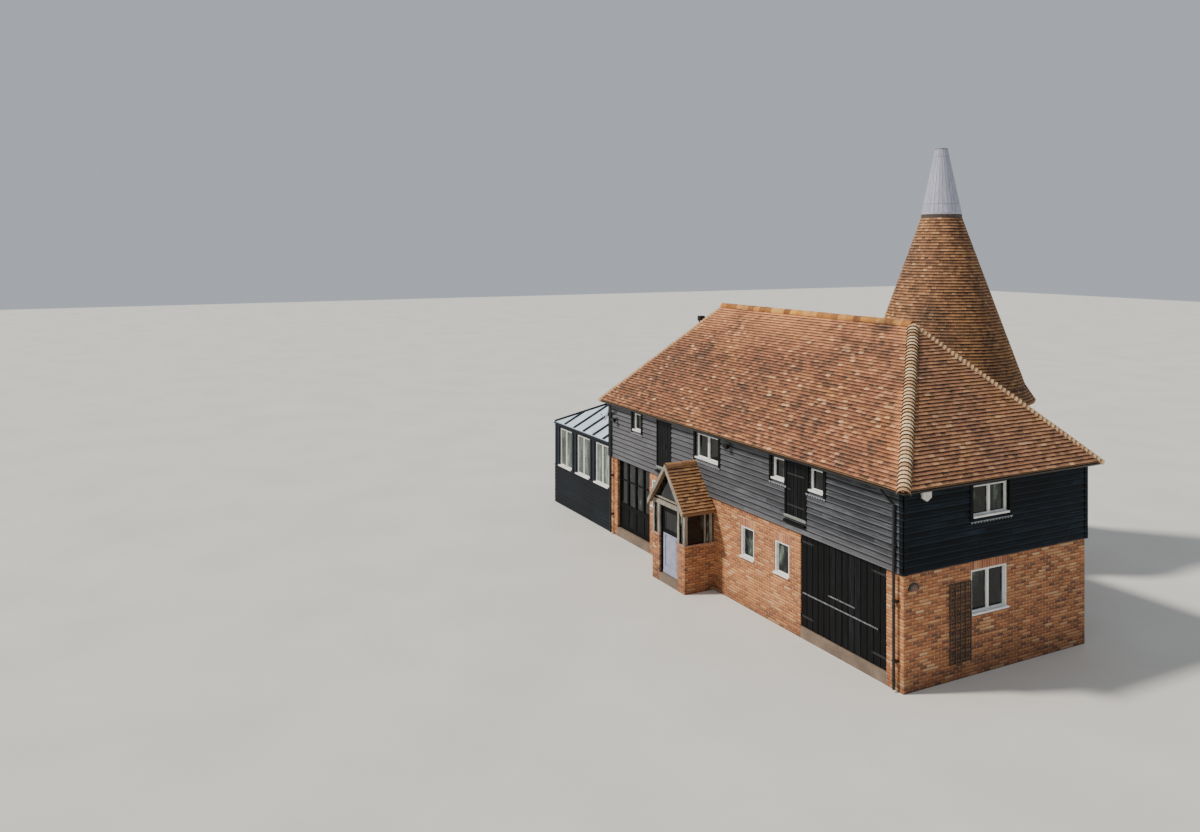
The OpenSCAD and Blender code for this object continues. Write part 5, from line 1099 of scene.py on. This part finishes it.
pitch, spacing = math.tan(math.radians(27)), 0.79
edge_z, middle_y, half = 3.126, -1.05, garden_deep / 2
head_x, head_z = garden_x0 + half, edge_z + half * pitch
bm = bmesh.new()
for x in [garden_x1 - 0.53 - k * spacing for k in range(6)] + [garden_x1 - 0.03]:
    reach = min(half, x - garden_x0)
    for s in (-1, 1):
        if reach > 0.2:
            bar_between(bm, (x, middle_y + s * half, edge_z + 0.012),
                        (x, middle_y + s * (half - reach), edge_z + reach * pitch + 0.012), 0.12, 0.05)
for y in [middle_y + k * spacing for k in (-2, -1, 0, 1, 2)]:
    reach = half - abs(y - middle_y)
    bar_between(bm, (garden_x0, y, edge_z + 0.012), (garden_x0 + reach, y, edge_z + reach * pitch + 0.012), 0.12, 0.05)
for s in (-1, 1):
    bar_between(bm, (garden_x0, middle_y + s * half, edge_z + 0.02), (head_x, middle_y, head_z + 0.02), 0.14, 0.06)
bar_between(bm, (head_x, middle_y, head_z + 0.025), (garden_x1, middle_y, head_z + 0.025), 0.15, 0.055)
for z, r in ((0.06, 0.03), (0.12, 0.042), (0.19, 0.02)):
    bmesh.ops.create_uvsphere(bm, u_segments=16, v_segments=10, radius=r, matrix=at(head_x, middle_y, head_z + z))
make_piece(bm, "garden_roof_bars", slate_blue)


# The cowl: tapered boards on hoops, painted white, that turns its back to the wind on a central spindle.
# The boards have weathered to a pale lilac-white, a painted hoop binds their feet, and a lead cap sheds the rain.
cowl_paint = finish("weathered_white_paint_on_boards", 0.55, (1.2, 6, 0.65), [
    (0.35, "9797A7"), (0.58, "ABABBB"), (0.9, "C6C6D4")], (0.002, 0.5), stretch=(14, 14, 1.2), tone=("board", 0.2))


def band(bm, place, radius, depth, thick, segments):
    """A flat band round the Z axis."""
    bit = bmesh.new()
    bmesh.ops.create_cone(bit, cap_ends=False, segments=segments, radius1=radius, radius2=radius, depth=depth)
    bmesh.ops.solidify(bit, geom=bit.faces[:], thickness=thick)
    bmesh.ops.recalc_face_normals(bit, faces=bit.faces)
    placed(bm, bit, place)


cowl_foot, cowl_height, cowl_wide, cowl_top = 11.002, 2.14, 0.628, 0.19
second_hoop, third_hoop = 0.33, 1.88
bm = bmesh.new()
tone = bm.faces.layers.float.new("board")
rng = random.Random(61)
profile = [bm.verts.new((cowl_wide - (cowl_wide - cowl_top) * z / cowl_height, 0, cowl_foot + z))
           for z in (0.0, second_hoop, third_hoop, cowl_height)]
for ends in zip(profile, profile[1:]):
    bm.edges.new(ends)
bmesh.ops.spin(bm, geom=bm.verts[:] + bm.edges[:], cent=(0, 0, 0), axis=(0, 0, 1), angle=math.radians(360),
               steps=26, use_merge=True)
bmesh.ops.remove_doubles(bm, verts=bm.verts, dist=1e-4)
bmesh.ops.recalc_face_normals(bm, faces=bm.faces)
# The lee side stands open between the second and third hoops
lee = []
for f in bm.faces:
    m = f.calc_center_median()
    turn = math.degrees(math.atan2(m.y, m.x)) % 360
    if 80 < turn < 190 and cowl_foot + second_hoop < m.z < cowl_foot + third_hoop:
        lee.append(f)
bmesh.ops.delete(bm, geom=lee, context="FACES")
for f in bm.faces:
    f[tone] = rng.random()
for f in bmesh.ops.inset_individual(bm, faces=bm.faces[:], thickness=0.016, depth=0.009)["faces"]:
    # Dirt gathers along the joints
    f[tone] = -1.2
bmesh.ops.solidify(bm, geom=bm.faces[:], thickness=0.024)
bmesh.ops.recalc_face_normals(bm, faces=bm.faces)
bmesh.ops.transform(bm, matrix=at(kiln_x, kiln_y, 0), verts=bm.verts)
band(bm, at(kiln_x, kiln_y, cowl_foot + 0.03), 0.634, 0.06, 0.012, 48)
for f in bm.faces:
    if f[tone] == 0:
        f[tone] = 0.8
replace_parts(make_piece(bm, "cowl_boards", cowl_paint, "cowl"), "cowl")

bm = bmesh.new()
band(bm, at(kiln_x, kiln_y, cowl_foot + 2.1), 0.2, 0.09, 0.012, 48)
rod(bm, at(kiln_x, kiln_y, cowl_foot + 2.14), 0.208, 0.022, 40)
rod(bm, at(kiln_x, kiln_y, cowl_foot + 2.165), 0.19, 0.022, 40, 0.06)
make_piece(bm, "cowl_bands", lead, "cowl")
# The hub, arms and upper bearing inside the cowl are black iron
bm = bmesh.new()
for z in (0.073, 1.94):
    band(bm, at(kiln_x, kiln_y, cowl_foot + z), 0.065, 0.09, 0.03, 32)
for turn in (30, 120, 210, 300):
    eased(bm, 0.06, 0.59, -0.03, 0.03, cowl_foot + 0.043, cowl_foot + 0.103, 0.006, at(kiln_x, kiln_y, 0, turn))
rod(bm, at(kiln_x, kiln_y, cowl_foot + 2.06), 0.065, 0.14, 32)
make_piece(bm, "cowl_bearings", black_iron, "cowl")

# Gutters and downpipes: half-round cast-iron gutters on brackets, clipped every metre, and round pipes with
# collars at their sockets, all painted black.
dress(black_iron, "gutters", "downpipes", "stove_flue")


def clip(bm, place, x):
    """A gutter clip: a half-round strap round the gutter from rim to rim."""
    bit = bmesh.new()
    bmesh.ops.create_cone(bit, cap_ends=False, segments=20, radius1=0.0615, radius2=0.0615, depth=0.05,
                          matrix=at(0, 0, 0, 90, "Y"))
    bmesh.ops.bisect_plane(bit, geom=bit.verts[:] + bit.edges[:] + bit.faces[:], dist=1e-5,
                           plane_co=(0, 0, 0.002), plane_no=(0, 0, 1), clear_outer=True)
    bmesh.ops.solidify(bit, geom=bit.faces[:], thickness=0.003)
    bmesh.ops.recalc_face_normals(bit, faces=bit.faces)
    placed(bm, bit, place @ at(x, -0.058, 4.582))


bm = bmesh.new()
gutter_front = at(0, -3.25, 0)
for x in [-6.9 + i * 1.0 for i in range(14)] + [6.85]:
    clip(bm, gutter_front, x)
    if not -3.0 < x < 3.1:
        clip(bm, at(0, 0, 0, 180) @ gutter_front, x)
for x in range(-3, 4):
    clip(bm, at(7.15, 0, 0, 90), x)
    clip(bm, at(-7.15, 0, 0, -90), x)
for turn in (0, 180):
    for x in (6.75, -6.75):
        for z in (0.25, 1.9, 3.1, 4.0):
            rod(bm, at(0, 0, 0, turn) @ at(x, -3.154, z), 0.041, 0.06, 20)
make_piece(bm, "gutter_joints", black_iron)

# Stove flue: a black enamelled flue pipe with a lead slate where it leaves the roof, and rings at its joints.
# The slate lies on the far slope, and a lead collar is dressed up round the pipe.
flue_x, flue_y = -6.25, 0.25
bm = bmesh.new()
for z in (6.35, 6.95):
    band(bm, at(flue_x, flue_y, z), 0.096, 0.05, 0.008, 32)
make_piece(bm, "flue_rings", black_iron)
bm = bmesh.new()
eased(bm, -0.32, 0.32, -0.25, 0.25, 0.02, 0.032, 0.005,
      at(flue_x, flue_y, 5.83) @ Matrix.Rotation(-math.atan2(rise, eave_x + ridge_far), 4, "Y"))
rod(bm, at(flue_x, flue_y, 5.93), 0.15, 0.3, 32, 0.1)
make_piece(bm, "flue_lead_slate", lead)

# Small fittings, all screwed to the walls: the dish and its arm in grey enamel, a bare white alarm box, a cast
# half-round wall plate with nothing on it, and a trellis of sawn laths stained brown.
dress(finish("grey_enamelled_steel", 0.45, (7, 5), [(0.3, "8F9396"), (0.6, "A8ACAF"), (0.85, "BCBFC1")]),
      "satellite_dish")
dress(finish("aged_white_moulded_plastic", 0.35, (9, 5), [(0.3, "D3D0C4"), (0.7, "E6E4DB")]), "alarm_box")
dress(finish("blackened_cast_plate", 0.5, (45, 5), [(0.3, "17181A"), (0.7, "2E2F31")], (0.001, 0.5)), "wall_plate")
faded = finish("faded_brown_enamel", 0.45, (30, 5), [(0.35, "4A322C"), (0.65, "7A584E")])
bm = bmesh.new()
rod(bm, at(0, 0, 0), 0.115, 0.008, 40)
bmesh.ops.bisect_plane(bm, geom=bm.verts[:] + bm.edges[:] + bm.faces[:], dist=1e-5, plane_co=(0, -0.012, 0),
                       plane_no=(0, 1, 0), clear_inner=True)
bmesh.ops.holes_fill(bm, edges=[e for e in bm.edges if e.is_boundary])
make_piece(bm, "wall_plate_face", faded, place=brick_near_end @ at(-2.755, -0.023, 2.295, 90, "X"))
stained = finish("dark_stained_sawn_laths", 0.75, (30, 5), [(0.3, "3A302A"), (0.6, "574A40"), (0.85, "74675A")])
# The curb that the cowl turns on is coloured the same dark brown
dress(stained, "trellis", "cowl_seat")
# Finer laths fill in between the stout ones
bm = bmesh.new()
for i in range(4):
    y = -1.561 + i * 0.164
    eased(bm, 6.976, 6.992, y - 0.008, y + 0.008, 0.38, 2.23, 0.002)
for i in range(10):
    z = 0.4835 + i * 0.1826
    eased(bm, 6.957, 6.973, -1.655, -0.975, z - 0.008, z + 0.008, 0.002)
make_piece(bm, "trellis_laths", stained)

# Two floodlights stand off the front boards under the eaves, each a ribbed black housing on a swivel arm
# that is screwed to the boards through a square foot.
bm = bmesh.new()
for x, z in ((-6.37, 4.03), (0.34, 4.36)):
    eased(bm, x - 0.05, x + 0.05, -3.13, -3.118, z - 0.05, z + 0.05, 0.003)
    rod(bm, at(x, -3.165, z, 90, "X"), 0.016, 0.09, 16)
    bit = bmesh.new()
    eased(bit, -0.085, 0.085, -0.05, 0.03, -0.065, 0.065, 0.008)
    ring(bit, -0.09, 0.09, -0.07, 0.07, 0.02, -0.056, -0.05, 0.002)
    for i in range(5):
        rib = -0.07 + i * 0.035
        eased(bit, rib - 0.004, rib + 0.004, 0.03, 0.045, -0.055, 0.055, 0.001)
    placed(bm, bit, at(x, -3.24, z - 0.02, 35, "X"))
make_piece(bm, "floodlights", black_iron)

# Floors: floated concrete below, worn at the thresholds, and elm boards above, laid along the house
# and nailed to the joists
dress(finish("floated_concrete", 0.85, (2.2, 6, 0.65), [
    (0.3, "5F5145"), (0.6, "7A6858"), (0.85, "937E69")], (0.002, 0.5)), "ground_slab")
dress(finish("elm_floor_boards", 0.6, (1.5, 6), [
    (0.3, "5A4129"), (0.6, "7C5C3B"), (0.85, "94734D")], stretch=(1.5, 18, 1)), "upper_floors")
